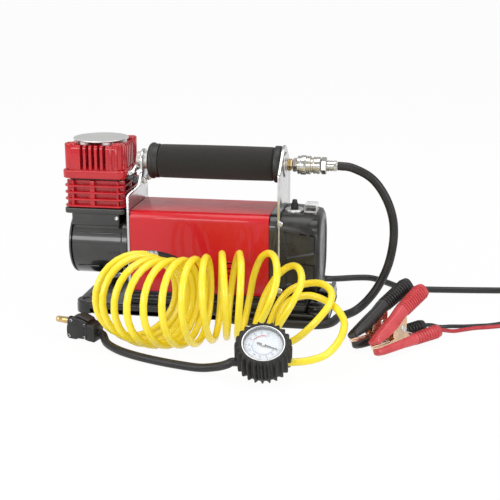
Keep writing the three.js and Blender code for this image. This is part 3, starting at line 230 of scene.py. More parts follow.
# Black rubber air hose with a faint mould grain and a soft sheen.
hose_rubber = Finish("hose_rubber", (0.022, 0.021, 0.021), 0.42, Specular_IOR_Level=0.45).weathered(
    (60, 5, 0.65), (0.012, 0.011, 0.011), (0.026, 0.024, 0.023), 0.36, 0.22, (0.45, 0.75)
).grained(900, 2, 0.00008, 0.6)
leader_line = smooth_line(millimetres([
    (144.2, 0, 157), (148.6, 0, 156.9), (159, 0, 155.6), (175.6, 0, 148), (187, 0, 137),
    (196.4, 0, 121.2), (202, 0, 104.2), (203.7, 0, 88.2), (202.6, 0, 71.7), (199, 0, 54),
    (193, -0.5, 38), (185.5, -3, 24.5), (176, -8, 13.2), (166.5, -15, 6.4), (157.5, -25, 4.7),
    (150.5, -35, 4.6), (147.6, -46, 4.6), (142, -55.5, 4.6), (132.5, -60.7, 4.6),
    (118, -62.2, 4.6), (98, -62.4, 4.6), (79, -62.4, 4.6), (60, -62, 4.6), (45, -61, 5.4),
    (32, -60.5, 10.5), (21, -61, 20), (13, -62.5, 34), (6, -66.5, 50), (0, -73.5, 61),
    (-5, -81, 68.5), (-10.5, -88.5, 74.5), (-16.5, -95.8, 79), (-22.3, -102.2, 81.8),
    (-24.6, -104.6, 82.8),
]))
leader_hose = tube_along("leader_hose", leader_line, 0.009, hose_rubber)

# Yellow polyurethane coil hose: standing turns swung round one after another,
# then the loose turns that end at the gauge.
# The faint yellow emission is painted light: the hose glows a little, which lifts the shaded
# undersides of the turns.
yellow_plastic = Finish(
    "yellow_plastic", (0.95, 0.85, 0.030), 0.24, Coat_Weight=0.4, Coat_Roughness=0.1,
    Emission_Color=(0.95, 0.84, 0.02, 1), Emission_Strength=0.08,
).weathered((35, 4, 0.6), (0.84, 0.66, 0.016), (0.88, 0.71, 0.036), 0.2, 0.12, (0.3, 0.75)
            ).grained(420, 2, 0.00008, 0.2)
COIL_HEIGHT, COIL_RADIUS, COIL_TURNS, TURN_POINTS = 45.3, 41.3, 9, 28
# x and y of each turn's centre, and how far it is swung and leant, in degrees
coil_turns = [
    (-41.9, -117.2, -54, 0), (-35.6, -123.8, -49, 0), (-23.6, -134.8, -42, 0),
    (-14.3, -139.2, -34, 0), (-4, -138.2, -25, 0), (7.1, -135.1, -16, 0), (18.8, -130, -7, 0),
    (29.8, -121.1, 2, 0), (43.6, -105.8, 9, 0), (55, -102.4, 12, 8),
]
turn_keys = smooth_line([Vector((x, y, COIL_HEIGHT)) for x, y, _, _ in coil_turns], TURN_POINTS)
swing_keys = smooth_line([Vector(turn[2:]) for turn in coil_turns], TURN_POINTS)
coil_line = []
for step in range(-1, COIL_TURNS * TURN_POINTS):
    centre = turn_keys[max(step, 0)]
    swing, lean = (math.radians(angle) for angle in swing_keys[max(step, 0)])
    turned = math.pi / 2 - 2 * math.pi * step / TURN_POINTS
    across = Vector((math.cos(swing), math.sin(swing), 0))
    forward = Vector((math.sin(swing), -math.cos(swing), 0))
    upward = math.cos(lean) * Vector((0, 0, 1)) + math.sin(lean) * across
    rim_point = math.sin(turned) * upward + math.cos(turned) * forward
    coil_line.append((centre + COIL_RADIUS * rim_point) / 1000)
coil_line.insert(0, coil_line[0].lerp(leader_line[-1], 0.5))
tail_line = smooth_line([coil_line[-1]] + millimetres([
    (64.8, -120, 81.5), (67.2, -137, 63), (65.5, -141, 28), (62.8, -127, 9.5),
    (61.8, -110, 4.2), (61.3, -94, 7.5), (62.2, -82, 16.5), (64.5, -71, 34), (68.4, -69, 56.3),
    (77.5, -80, 78), (89.6, -100, 88.8), (98.9, -122, 86.9), (101.5, -138, 72.1),
    (95.4, -145, 50.7), (84, -138, 26), (77.5, -124, 9.8), (73.8, -109, 4.6), (73.6, -96, 8.6),
    (76.2, -87, 21.5), (82, -80.5, 40), (93.4, -78, 59.7), (107.6, -88, 73.2),
    (118.7, -105, 76.2), (123.1, -122, 67.5), (116.5, -135, 51.4), (105, -137, 31),
    (96, -126, 12.8), (89.6, -111, 4.8), (87.8, -98, 9.4), (91.2, -89, 22.5), (98, -83.5, 36.5),
    (107.7, -82, 47.3), (121.5, -84, 54.4), (138.1, -93, 58.8), (149.8, -106, 55.7),
    (150.2, -121, 47.1), (138, -132, 32), (121, -130, 14.5), (107.5, -119, 5.2),
    (99.5, -106, 8.2), (98.3, -97, 20.5), (103, -92, 33), (113.5, -91.5, 42.2),
    (129, -96, 46.8), (145.5, -106, 45.3), (158.6, -121, 41.5), (166.5, -142, 36.1),
    (164.5, -165, 28), (155.5, -183, 20.8), (143.5, -191.5, 17.5), (134.5, -194.2, 16.2),
    (126.0, -196.0, 15.6), (121.0, -197.0, 15.5),
]))
air_line = coil_line + tail_line[1:]
air_hose = tube_along("air_hose", air_line, 0.007, yellow_plastic,
                      ["air_coil", "coil_tail"])

# Black hose from the gauge to the chuck, lying on the ground.
chuck_line = smooth_line(millimetres([
    (77.0, -204.2, 15.7), (71.5, -205.0, 15.6), (67, -205.2, 13.2), (57, -202, 9),
    (40, -196.5, 4.8), (18, -191, 4.2), (-5, -184, 4.2), (-27, -175, 4.2), (-47, -163, 4.2),
    (-62.5, -148, 4.6), (-70.8, -133.4, 7.2), (-75.6, -130.3, 8.1),
]))
chuck_hose = tube_along("chuck_hose", chuck_line, 0.008, hose_rubber)

# Black jacketed power lead: out of the back of the end cap, over the ground
# behind the machine, and the rest wound in a flat coil in three layers.
lead_rubber = Finish("lead_rubber", (0.018, 0.018, 0.019), 0.4).grained(1100, 2, 0.00006, 0.5)
lead_rubber.wear("Roughness", 0.33 + lead_rubber.patches((80, 4), 0.4, 0.7) * 0.2)
lead_keys = millimetres([
    (112, 63.1, 42), (112, 67.5, 41.8), (112, 74, 38), (113, 82, 29), (115, 92, 15.5),
    (120, 99.5, 6.5), (128, 104.5, 3.8), (140, 108.5, 3.6), (155, 114, 3.6), (171.6, 116.8, 3.6),
    (184.6, 110, 3.6), (197.6, 97, 3.6), (208, 86.5, 3.6), (222, 81.5, 3.6), (239.6, 82.1, 3.6),
    (262.8, 84.5, 3.6), (292.5, 88.2, 3.6), (322, 92.4, 3.6), (340, 95.6, 3.6), (362, 97.6, 3.6),
])
LEAD_COIL = Vector((0.388, 0.052, 0))
LANES, LAYERS = (0.0455, 0.0383, 0.0311), (0.0037, 0.0109, 0.0181)
LEAD_TURNS, LEAD_TURN_POINTS, CROSSING = 8.5, 16, 0.6
# the lane and the layer of each turn; the lead crosses over in the last part of a turn
lanes = [(0, 0), (1, 0), (2, 0), (2, 1), (1, 1), (0, 1), (2, 2), (1, 2), (0, 2), (0, 2)]
for step in range(2, int(LEAD_TURNS * LEAD_TURN_POINTS)):
    turn, part = divmod(step / LEAD_TURN_POINTS, 1)
    here, there = lanes[int(turn)], lanes[int(turn) + 1]
    shift = max(0.0, (part - CROSSING) / (1 - CROSSING))
    shift = shift * shift * (3 - 2 * shift)
    radius = LANES[here[0]] * (1 - shift) + LANES[there[0]] * shift
    height = LAYERS[here[1]] * (1 - shift) + LAYERS[there[1]] * shift
    angle = math.radians(95) - 2 * math.pi * step / LEAD_TURN_POINTS
    reach = Vector((radius * math.cos(angle), radius * math.sin(angle), height))
    lead_keys.append(LEAD_COIL + reach)
lead_keys += millimetres([(381, 1.2, 13.5), (371, -2.4, 6.5), (361.5, -3.6, 3.7)])
lead_line = smooth_line(lead_keys, 5)
power_lead = tube_along("power_lead", lead_line, 0.007, lead_rubber,
                        ["power_lead", "lead_coil"])

# The two separate wires from the end of the jacket to the clamps.
red_insulation = Finish("red_insulation", (0.42, 0.02, 0.03), 0.38).mottled(120, 0.12).grained(
    1200, 2, 0.00005, 0.5)
wire_lines = {"red": smooth_line(millimetres([
    (358, -6.2, 2.3), (345, -9, 2.3), (333, -15.5, 2.3), (320, -24, 2.3), (305, -31.5, 2.3),
    (290.2, -37, 2.3), (279, -44, 2.4), (268.5, -53, 3.4), (260, -61.5, 6.6), (255.1, -67.2, 8.8),
    (251, -72.3, 8.7), (246, -78, 8.6), (240.5, -84.4, 8.5),
])), "black": smooth_line(millimetres([
    (358, -1.2, 2.3), (344, -3.6, 2.3), (331, -9, 2.3), (318, -17, 2.3), (305, -25, 2.3),
    (292, -29.5, 2.3), (279, -33.5, 2.3), (266, -36, 2.4), (254.5, -41, 3), (246.5, -47, 6.4),
    (239.9, -54.1, 8.4), (235, -59, 8.3), (229.5, -64.5, 8.2), (224, -70, 8.1),
]))}
wires = {
    "red": tube_along("wire_red", wire_lines["red"], 0.004, red_insulation),
    "black": tube_along("wire_black", wire_lines["black"], 0.004, lead_rubber),
}


# ---------------------------------------------------------------- studio
# A wide pale floor that runs out of sight, a pale room seen in the gloss and
# four large soft lamps.
floor_bm = bmesh.new()
bmesh.ops.create_grid(floor_bm, x_segments=1, y_segments=1, size=9)
floor_mesh = bpy.data.meshes.new("studio_floor")
floor_bm.to_mesh(floor_mesh)
floor_bm.free()
studio_floor = bpy.data.objects.new("studio_floor", floor_mesh)
bpy.context.collection.objects.link(studio_floor)

WHITE = (1, 1, 1, 1)
floor_paint = Finish("floor_paint", (0.86, 0.86, 0.86), 0.7, Specular_IOR_Level=0.1)
eye = floor_paint.node("ShaderNodeLightPath", output="Is Camera Ray")
gloss, through = (floor_paint.given("Light Path", f"Is {way} Ray")
                  for way in ("Glossy", "Transmission"))
floor_paint.end_with(floor_paint.node("ShaderNodeMixShader", inputs={
    0: eye * 0.95 + gloss * 0.8 + through * 0.95,
    1: floor_paint.given("Principled BSDF"),
    2: floor_paint.node("ShaderNodeEmission", inputs={"Color": WHITE, "Strength": 1.0}),
}), "Material Output")
studio_floor.data.materials.append(floor_paint.material)

room = bpy.data.worlds.new("room")
bpy.context.scene.world = room
room_shades = Shades(room)
room_lit = room.node_tree.nodes["Background"]
room_lit.inputs["Color"].default_value = WHITE
room_lit.inputs["Strength"].default_value = 0.55
room_shades.end_with(room_shades.node("ShaderNodeMixShader", inputs={
    0: room_shades.node("ShaderNodeLightPath", output="Is Camera Ray"),
    1: room_shades.given("Background"),
    2: room_shades.node("ShaderNodeBackground", inputs={"Color": WHITE, "Strength": 1.0}),
}), "World Output")

for name, place, aim, width, height, watts in (
        ("lamp_over", (0.1, -0.1, 1.5), (0.05, 0, 0.05), 1.3, 0.9, 9),
        ("lamp_left", (-1.3, -1.0, 0.9), (0, 0, 0.1), 0.9, 1.1, 9),
        ("lamp_right", (1.5, -0.7, 0.8), (0.05, 0, 0.1), 0.7, 1.0, 9),
        ("lamp_front", (-0.42, -1.5, 0.56), (-0.05, 0, 0.08), 1.0, 0.34, 6)):
    lamp = bpy.data.lights.new(name, "AREA")
    lamp.shape = "RECTANGLE"
    lamp.size, lamp.size_y = width, height
    lamp.energy = watts
    stand = bpy.data.objects.new(name, lamp)
    bpy.context.collection.objects.link(stand)
    stand.location = place
    stand.rotation_euler = (Vector(aim) - Vector(place)).to_track_quat("-Z", "Y").to_euler()
bpy.context.scene.view_settings.view_transform = "Standard"


# ---------------------------------------------------------------- skid
# One black moulding: a rounded tray with a raised rim, a stepped plinth that
# carries the motor, webs at the ends and an upright lip at the right.
WELD = 1e-7  # corners nearer than this, in metres, are one corner


def piece(name, bm, finish, body="compressor", smooth=38):
    """Turns a finished bmesh, in metres, into a piece that stands for the node of its name."""
    bmesh.ops.remove_doubles(bm, verts=bm.verts, dist=WELD)
    bmesh.ops.recalc_face_normals(bm, faces=bm.faces)
    mesh = bpy.data.meshes.new(f"{name}_looks")
    bm.to_mesh(mesh)
    bm.free()
    mesh.materials.append(finish.material)
    mesh.shade_smooth()
    mesh.set_sharp_from_angle(angle=math.radians(smooth))
    return settled(name, mesh, body)


def merged(*parts):
    """One bmesh out of several finished ones."""
    whole = bmesh.new()
    for part in parts:
        bmesh.ops.recalc_face_normals(part, faces=part.faces)
        shell = bpy.data.meshes.new("part")
        part.to_mesh(shell)
        part.free()
        whole.from_mesh(shell)
        bpy.data.meshes.remove(shell)
    return whole


def placed(bm, place):
    bmesh.ops.transform(bm, matrix=place, verts=bm.verts)
    return bm


def corners_of(made):
    """The new corners that an extrusion gives back."""
    return [v for v in made["geom"] if isinstance(v, bmesh.types.BMVert)]


def soften(bm, width, segments=2, over=35):
    """Rounds every edge sharper than the given angle; the width is in millimetres."""
    sharp = [e for e in bm.edges if len(e.link_faces) == 2
             and e.calc_face_angle(0) > math.radians(over)]
    bmesh.ops.bevel(bm, geom=sharp, offset=width / 1000, segments=segments, affect="EDGES",
                    profile=0.5, material=-1, clamp_overlap=True)
    return bm


def brick(x0, x1, y0, y1, z0, z1, edge, segments=2):
    """A box between two corners in millimetres, with rounded edges."""
    bm = bmesh.new()
    bmesh.ops.create_cube(bm, size=1)
    bmesh.ops.scale(bm, vec=((x1 - x0) / 1000, (y1 - y0) / 1000, (z1 - z0) / 1000), verts=bm.verts)
    return soften(placed(bm, at((x0 + x1) / 2, (y0 + y1) / 2, (z0 + z1) / 2)), edge, segments)


# Z turned to point to the right, the left, the front or the back of the machine
TO_X = Matrix(((0, 0, 1, 0), (1, 0, 0, 0), (0, 1, 0, 0), (0, 0, 0, 1)))
TO_LEFT = Matrix(((0, 0, -1, 0), (-1, 0, 0, 0), (0, 1, 0, 0), (0, 0, 0, 1)))
TO_FRONT = Matrix(((1, 0, 0, 0), (0, 0, -1, 0), (0, 1, 0, 0), (0, 0, 0, 1)))
TO_BACK = Matrix(((1, 0, 0, 0), (0, 0, 1, 0), (0, -1, 0, 0), (0, 0, 0, 1)))
TO_SIDE = {-1: TO_FRONT, 1: TO_BACK}
UPRIGHT = Matrix.Identity(4)


def at(x, y, z):
    return Matrix.Translation((x / 1000, y / 1000, z / 1000))


def turned_by(degrees, axis="Z"):
    return Matrix.Rotation(math.radians(degrees), 4, axis)


def slab(outline, depth, place, edge=0.0, segments=2, over=35, holes=()):
    """A flat outline in millimetres, with holes, raised by its depth, then placed."""
    bm = bmesh.new()
    if holes:
        for loop in (outline, *holes):
            ring = [bm.verts.new((x / 1000, y / 1000, 0)) for x, y in loop]
            for a, b in zip(ring, ring[1:] + ring[:1]):
                bm.edges.new((a, b))
        bmesh.ops.triangle_fill(bm, use_beauty=True, edges=bm.edges[:], normal=(0, 0, 1))
    else:
        bm.faces.new([bm.verts.new((x / 1000, y / 1000, 0)) for x, y in outline])
    raised = bmesh.ops.extrude_face_region(bm, geom=bm.faces[:])
    bmesh.ops.translate(bm, vec=(0, 0, depth / 1000), verts=corners_of(raised))
    bmesh.ops.recalc_face_normals(bm, faces=bm.faces)
    if edge:
        soften(bm, edge, segments, over)
    return placed(bm, place)


def arc(radius, first, last, steps, x=0.0, y=0.0):
    """Points on an arc between two angles in degrees."""
    angles = [math.radians(first + (last - first) * i / steps) for i in range(steps + 1)]
    return [(x + radius * math.cos(a), y + radius * math.sin(a)) for a in angles]


def rounded(width, height, radius, steps=8, x=0.0, y=0.0):
    """The outline of a rectangle with round corners."""
    outline = []
    for quarter, (side, end) in enumerate(((1, 1), (-1, 1), (-1, -1), (1, -1))):
        outline += arc(radius, 90 * quarter, 90 * (quarter + 1), steps,
                       x + side * (width / 2 - radius), y + end * (height / 2 - radius))
    return outline


def spun(profile, place, steps=48):
    """A lathed piece: (station, radius) pairs in millimetres, turned about Z, then placed."""
    bm = bmesh.new()
    points = [bm.verts.new((radius / 1000, 0, station / 1000)) for station, radius in profile]
    for a, b in zip(points, points[1:]):
        bm.edges.new((a, b))
    bmesh.ops.spin(bm, geom=bm.verts[:] + bm.edges[:], cent=(0, 0, 0), axis=(0, 0, 1),
                   dvec=(0, 0, 0), angle=2 * math.pi, steps=steps, use_merge=True,
                   use_duplicate=False)
    bmesh.ops.remove_doubles(bm, verts=bm.verts, dist=WELD)
    bmesh.ops.recalc_face_normals(bm, faces=bm.faces)
    return placed(bm, place)


skid_plastic = Finish("skid_plastic", (0.012, 0.012, 0.013), 0.4, Specular_IOR_Level=0.4,
                      Coat_Weight=0.5, Coat_Roughness=0.12).weathered(
    (45, 6, 0.7), (0.005, 0.005, 0.005), (0.016, 0.0155, 0.0145), 0.26, 0.26, (0.42, 0.72)
).grained(1500, 3, 0.00008, 0.4)

SKID_LEFT, SKID_RIGHT, SKID_WIDTH = -127, 142, 108
PLINTH_LEFT, PLINTH_RIGHT, PLINTH_HALF = -74, 118, 45
RIM_WIDTH = 0.008
skid_outline = rounded(SKID_RIGHT - SKID_LEFT, SKID_WIDTH, 12, 10, (SKID_LEFT + SKID_RIGHT) / 2)
skid_parts = [slab(skid_outline, 6.5, at(0, 0, 1), 1.2, 3, 50)]
rim = slab(skid_outline, 11, at(0, 0, 1))
for facing in (1, -1):
    flat = [f for f in rim.faces if f.normal.z * facing > 0.9]
    bmesh.ops.inset_region(rim, faces=flat, thickness=RIM_WIDTH, depth=0)
    middle = [f for f in rim.faces if f.normal.z * facing > 0.9 and len(f.verts) > 30]
    bmesh.ops.delete(rim, geom=middle, context="FACES")
bmesh.ops.bridge_loops(rim, edges=[e for e in rim.edges if e.is_boundary])
skid_parts.append(soften(rim, 1.3, 3, 50))
# plinth, ledge and bearer: each is set in from the ends and the sides of the one below
for end, side, low, high, edge, segments in (
        (0, 0, 6, 18.5, 1.6, 3), (1.5, 2.5, 17.5, 21.2, 0.9, 2), (2, 6, 20.5, 24, 0.6, 2)):
    skid_parts.append(brick(PLINTH_LEFT + end, PLINTH_RIGHT - end, side - PLINTH_HALF,
                            PLINTH_HALF - side, low, high, edge, segments))
skid_parts += [slab([(-121, 6), (-77, 6), (-73, 17), (-73, 8)], 3, at(0, y, 0) @ TO_FRONT, 0.6)
               for y in (-44.5, -22.5, 25.5, 47.5)]
skid_parts += [spun([(1.2, radius), (13.4, radius - 0.2), (14.2, radius - 1), (14.2, 6.2),
                     (13.2, 5.6), (13.2, 0)], at(x, y, 0), 32)
               for x, radius in ((-115, 11.6), (130.5, 11)) for y in (-43.5, 43.5)]
skid_parts.append(slab(rounded(68, 15, 5, 6), 4.5, at(137.5, 0, 16.4) @ TO_X, 1.0, 2, 50))
skid_parts += [brick(119, 137.5, y - 9, y + 9, 6, 15.5, 1.6, 3) for y in (-26, 26)]
piece("skid", merged(*skid_parts), skid_plastic)

# Four grey-black rubber feet pressed into the skid's corners; each carries a
# round tread on its underside.
foot_rubber = Finish("foot_rubber", (0.055, 0.055, 0.058), 0.75).mottled(150, 0.2).grained(
    900, 3, 0.0001, 0.7)
foot_profile = [(0.0, 0), (0.0, 4), (0.8, 4.6), (0.8, 7), (0, 7.6), (0, 9.6), (1.0, 10.9),
                (9.4, 10.9), (10, 10), (10, 0)]
for side, y in (("front", -43), ("rear", 43)):
    for end, x in (("left", -116), ("right", 131)):
        piece(f"foot_{side}_{end}", spun(foot_profile, at(x, y, 0), 40), foot_rubber)


# ---------------------------------------------------------------- crankcase
# A black enamelled die casting: a lying barrel with a square neck and deck for
# the cylinder, a motor flange on its right and a round cover screwed on its left.
cast_black = Finish("cast_black", (0.034, 0.034, 0.034), 0.36, Specular_IOR_Level=0.5,
                    Coat_Weight=0.9, Coat_Roughness=0.08).weathered(
    (38, 5, 0.65), (0.004, 0.004, 0.004), (0.015, 0.014, 0.013), 0.3, 0.22, (0.4, 0.75)
).grained(700, 4, 0.00018, 0.55, 0.6)

AXIS, HEAD_X = 67.3, -108
SHAFT = at(0, 0, AXIS) @ TO_X
barrel = spun([(-134.6, 0), (-134.6, 33.4), (-133.2, 35), (-80.2, 35), (-79.6, 35.5),
               (-79.6, 36.2), (-78.2, 37.4), (-73.0, 37.5), (-71.6, 36.1), (-71.6, 0)], SHAFT, 84)
neck = brick(-133.6, -81.6, -31, 31, 91, 105.5, 1.4, 3)
neck_root = brick(-131.5, -83, -28.4, 28.4, 76, 95, 1.0)
deck = slab(rounded(66, 66, 4.5, 6, HEAD_X), 6, at(0, 0, 104), 1.3, 3, 50)
seam_ribs = [brick(-126, -80, -32.6, -26, 82.2, 83.8, 0.6),
             brick(-126, -80, 26, 32.6, 82.2, 83.8, 0.6),
             brick(-130, -106, -28.9, -24, 45.2, 46.6, 0.5)]
ears = [spun([(-79, 0), (-79, 4.6), (-78.2, 5.4), (-72.6, 5.4), (-71.7, 4.6), (-71.7, 0)],
             at(0, y, z) @ TO_X, 24) for y in (-26, 26) for z in (45.1, 89.5)]
casting = merged(barrel, neck, neck_root, deck, *seam_ribs, *ears)
piece("crankcase", casting, cast_black)

lid = spun([(-134.9, 0), (-134.9, 35), (-136.2, 35), (-137.5, 33.8), (-137.9, 31.6), (-137.1, 30.4),
            (-136.6, 29.6), (-136.6, 14), (-137.2, 12.6), (-137.9, 11.8), (-137.9, 0)], SHAFT, 84)
piece("crankcase_cover", lid, cast_black)


def hex_socket_screw(place, radius, height):
    """A cylinder head screw with a hexagon socket, standing on the placed face."""
    across = radius * 0.62
    head = spun([(0, 0), (0, radius), (height - 0.5, radius), (height, radius - 0.5),
                 (height, across)], UPRIGHT, 20)
    socket = bmesh.new()
    bmesh.ops.create_circle(socket, cap_ends=False, segments=6, radius=across / 1000)
    placed(socket, at(0, 0, height))
    foot = corners_of(bmesh.ops.extrude_edge_only(socket, edges=socket.edges[:]))
    bmesh.ops.translate(socket, vec=(0, 0, -height * 0.6 / 1000), verts=foot)
    bmesh.ops.contextual_create(socket, geom=foot)
    return placed(merged(head, socket), place)


bright_steel = Finish("bright_steel", (0.78, 0.78, 0.77), 0.26, Metallic=1.0).weathered(
    (160, 4, 0.7, (1, 1, 14)), (0.62, 0.62, 0.61), (0.86, 0.86, 0.85), 0.18, 0.22,
    relief=(0.00004, 0.4))
LID_BOLT_CIRCLE = 22
case_screws = [hex_socket_screw(at(-136.2, y, AXIS + z) @ TO_LEFT, 2.3, 1.6)
               for y, z in arc(LID_BOLT_CIRCLE, 45, 315, 3)]
case_screws += [hex_socket_screw(at(-84.3, side * 31, 99.8) @ TO_SIDE[side], 2.1, 1.9)
                for side in (-1, 1)]
piece("case_screws", merged(*case_screws), bright_steel)


# ---------------------------------------------------------------- cylinder
# A red enamelled aluminium casting with four drafted fins, tied by upright ribs
# that the through bolts pass behind.
red_enamel = Finish("red_enamel", (0.50, 0.004, 0.012), 0.24, Specular_IOR_Level=0.3,
                    Coat_Weight=0.65, Coat_IOR=1.6, Coat_Roughness=0.05)
enamel_drift = red_enamel.patches((26, 4, 0.6), 0.35, 0.7)
red_enamel.toned(enamel_drift, (0.43, 0.003, 0.009), (0.54, 0.006, 0.016))
red_enamel.wear("Roughness", 0.2 + red_enamel.patches((90, 4), 0.4, 0.8) * 0.14)
red_enamel.grained(230, 3, 0.0002, 0.35)

FIN_FOOT, FIN_TOP, FIN_PITCH = 110.3, 139, 7.175
SIDE_LIP, CORNER_LIP, CORNER_SPAN = 0.0030, 0.0034, 0.012
fins = []
for i in range(4):
    foot = FIN_FOOT + FIN_PITCH * i
    fin = slab(rounded(60.5, 60.5, 6, 8, HEAD_X), 3.4, at(0, 0, foot))
    side_faces = [f for f in fin.faces if abs(f.normal.z) < 0.5]
    grown = bmesh.ops.extrude_face_region(fin, geom=side_faces)
    middle = (foot + 1.8) / 1000
    for v in corners_of(grown):
        out = Vector((v.co.x - HEAD_X / 1000, v.co.y, 0))
        on_side = abs(abs(out.x) - abs(out.y)) > CORNER_SPAN
        v.co += out.normalized() * (SIDE_LIP if on_side else CORNER_LIP)
        v.co.z = middle + (v.co.z - middle) * 0.5
    bmesh.ops.delete(fin, geom=[f for f in side_faces if f.is_valid], context="FACES_ONLY")
    fins.append(soften(fin, 0.35, 1, 30))
core = slab(rounded(54, 54, 4, 4, HEAD_X), FIN_TOP - FIN_FOOT, at(0, 0, FIN_FOOT), 0.5, 1, 60)
RIB_HALF = 31.4
ribs = [brick(HEAD_X + across - wide / 2, HEAD_X + across + wide / 2, -RIB_HALF, RIB_HALF,
              FIN_FOOT, FIN_TOP, 0.7) for across, wide in ((-2, 5.2), (-23.2, 2.6), (25.5, 2.0))]
ribs += [brick(HEAD_X - RIB_HALF, HEAD_X + RIB_HALF, across - wide / 2, across + wide / 2,
               FIN_FOOT, FIN_TOP, 0.7) for across, wide in ((0, 5.2), (-23.5, 2.6), (23.5, 2.6))]
piece("cylinder", merged(core, *fins, *ribs), red_enamel, smooth=30)


# ---------------------------------------------------------------- cylinder head
# The red head casting: a flange with broad round corners, and a crown slotted on
# the front, the right and the back so that narrow fins stand between.
SLOTS, SLOT_WIDTH, SLOT_PITCH, SLOT_DEPTH = 5, 3.4, 6.1, 9
CROWN_SIZE, CORNER_REACH, FILLET_RISE = 63, 25.2, 0.0052


def comb(size, radius, depth):
    """A square outline with round corners and slots cut into all sides but the left."""
    half = size / 2
    outline = []
    for turn in (0, 90, 180, 270):
        edge = []
        for i in range(SLOTS if turn < 270 else 0):
            middle = (i - (SLOTS - 1) / 2) * SLOT_PITCH
            edge += [(middle + SLOT_WIDTH * part, sunk - half) for part, sunk in (
                (-0.5, 0), (-0.5, depth - 1), (-0.25, depth), (0.25, depth), (0.5, depth - 1),
                (0.5, 0))]
        edge += arc(radius, -90, 0, 8, half - radius, radius - half)
        c, s = round(math.cos(math.radians(turn))), round(math.sin(math.radians(turn)))
        outline += [(x * c - y * s, x * s + y * c) for x, y in edge]
    return outline


def carried(bm, top, points):
    """Pulls a face on to new points, in metres, leaving walls behind it."""
    alone = all(len(e.link_faces) == 1 for e in top.edges)
    grown = bmesh.ops.extrude_face_region(bm, geom=[top])
    if not alone:
        bmesh.ops.delete(bm, geom=[top], context="FACES_ONLY")
    moved = next(f for f in grown["geom"] if isinstance(f, bmesh.types.BMFace))
    for vert, point in zip(moved.verts, points):
        vert.co = point
    return moved


def skinned(rings, place):
    """A solid skinned through rings of equal count, in millimetres, then placed."""
    bm = bmesh.new()
    top = bm.faces.new([bm.verts.new(point) for point in millimetres(rings[0])])
    for ring in rings[1:]:
        top = carried(bm, top, millimetres(ring))
    bmesh.ops.recalc_face_normals(bm, faces=bm.faces)
    return placed(bm, place)


def lofted(sections, place):
    """A solid skinned through flat outlines: (height, outline) pairs in millimetres."""
    return skinned([[(x, y, height) for x, y in outline] for height, outline in sections], place)


def ring_of(radius, steps=40, x=0.0, y=0.0):
    return arc(radius, 0, 360, steps, x, y)[:-1]


head_flange = slab(rounded(68, 68, 8, 8, HEAD_X), 9, at(0, 0, 141.6), 1.4, 3, 50)
crown = lofted([(z, comb(size, 8, SLOT_DEPTH - (CROWN_SIZE - size) / 2)) for z, size in (
    (149.4, CROWN_SIZE), (172.6, CROWN_SIZE), (174.2, 62.3), (175.3, 61), (176, 58.8))],
    at(HEAD_X, 0, 0))
head_corners = [(HEAD_X + x, y) for x in (-CORNER_REACH, CORNER_REACH)
                for y in (-CORNER_REACH, CORNER_REACH)]
pillars = [slab(rounded(12.5, 12.5, 5.4, 6, x, y), 28, at(0, 0, 150.3), 1.4, 3, 50,
                holes=[ring_of(3.3, 24, x, y)]) for x, y in head_corners]
flutes = [spun([(150, 0), (150, 1.9), (172.5, 1.6), (175.4, 0.5), (175.4, 0)],
               at(HEAD_X + x, y, 0), 16)
          for x, y in ((19.2, -31.2), (25.2, -31.4), (31.2, -19.2), (31.2, 19.2), (19.2, 31.2))]
fillets = []
for i in range(SLOTS):
    for turn in (0, 90, 180):
        wedge = slab([(-SLOT_WIDTH / 2, 0), (SLOT_WIDTH / 2, 0), (SLOT_WIDTH / 2, 7.6),
                      (-SLOT_WIDTH / 2, 7.6)], 0.4, UPRIGHT)
        inner_top = [v for v in wedge.verts if v.co.z > 0.0001 and v.co.y > 0.004]
        bmesh.ops.translate(wedge, vec=(0, 0, FILLET_RISE), verts=inner_top)
        fillets.append(placed(wedge, at(HEAD_X, 0, 150.4) @ turned_by(turn)
                              @ at((i - (SLOTS - 1) / 2) * SLOT_PITCH, -31.0, 0)))
piece("cylinder_head", merged(head_flange, crown, *pillars, *flutes, *fillets), red_enamel,
      smooth=32)
head_screws = [hex_socket_screw(at(x, y, 175.7), 2.9, 1.4) for x, y in head_corners]
piece("head_screws", merged(*head_screws), cast_black)

# A silver disc with a rolled rim, on six white collars over the middle of the head.
brushed_plate = Finish("brushed_plate", (0.74, 0.74, 0.73), 0.42, Metallic=1.0).weathered(
    (420, 3, 0.6, (0.06, 1, 1)), (0.68, 0.68, 0.67), (0.86, 0.86, 0.85), 0.36, 0.2,
    relief=(0.00003, 0.3))
disc = spun([(178.9, 0), (178.9, 28.6), (179.3, 29.1), (180.0, 29.3), (180.6, 29.1), (180.8, 28.6),
             (180.6, 27.7), (180.35, 27.2), (180.35, 0)], at(HEAD_X, 0, 0), 96)
piece("head_disc", disc, brushed_plate)
white_collar = Finish("white_collar", (0.74, 0.74, 0.73), 0.45).mottled(200, 0.08).grained(
    800, 2, 0.00005, 0.4)
COLLAR_CIRCLE = 23.8
collars = [spun([(176, 0), (176, 4.2), (176.5, 4.4), (178.4, 4.4), (178.9, 4.0), (178.9, 0)],
                at(x, y, 0), 24) for x, y in ring_of(COLLAR_CIRCLE, 6, HEAD_X)]
piece("disc_collars", merged(*collars), white_collar)


# ---------------------------------------------------------------- motor cover
# The red cover over the motor: sheet steel folded to an inverted U, enamelled,
# with four louvre slots punched in each side.
cover_enamel = Finish("cover_enamel", (0.58, 0.006, 0.014), 0.3, Specular_IOR_Level=0.35,
                      Coat_Weight=0.4, Coat_Roughness=0.04)
cover_drift = cover_enamel.patches((9, 3), 0.35, 0.7)
cover_enamel.toned(cover_drift, (0.53, 0.004, 0.010), (0.60, 0.006, 0.015))
cover_enamel.wear("Roughness", 0.3 + cover_enamel.patches((60, 5, 0.6), 0.4, 0.8) * 0.12)
cover_enamel.grained(150, 2, 0.00015, 0.3)


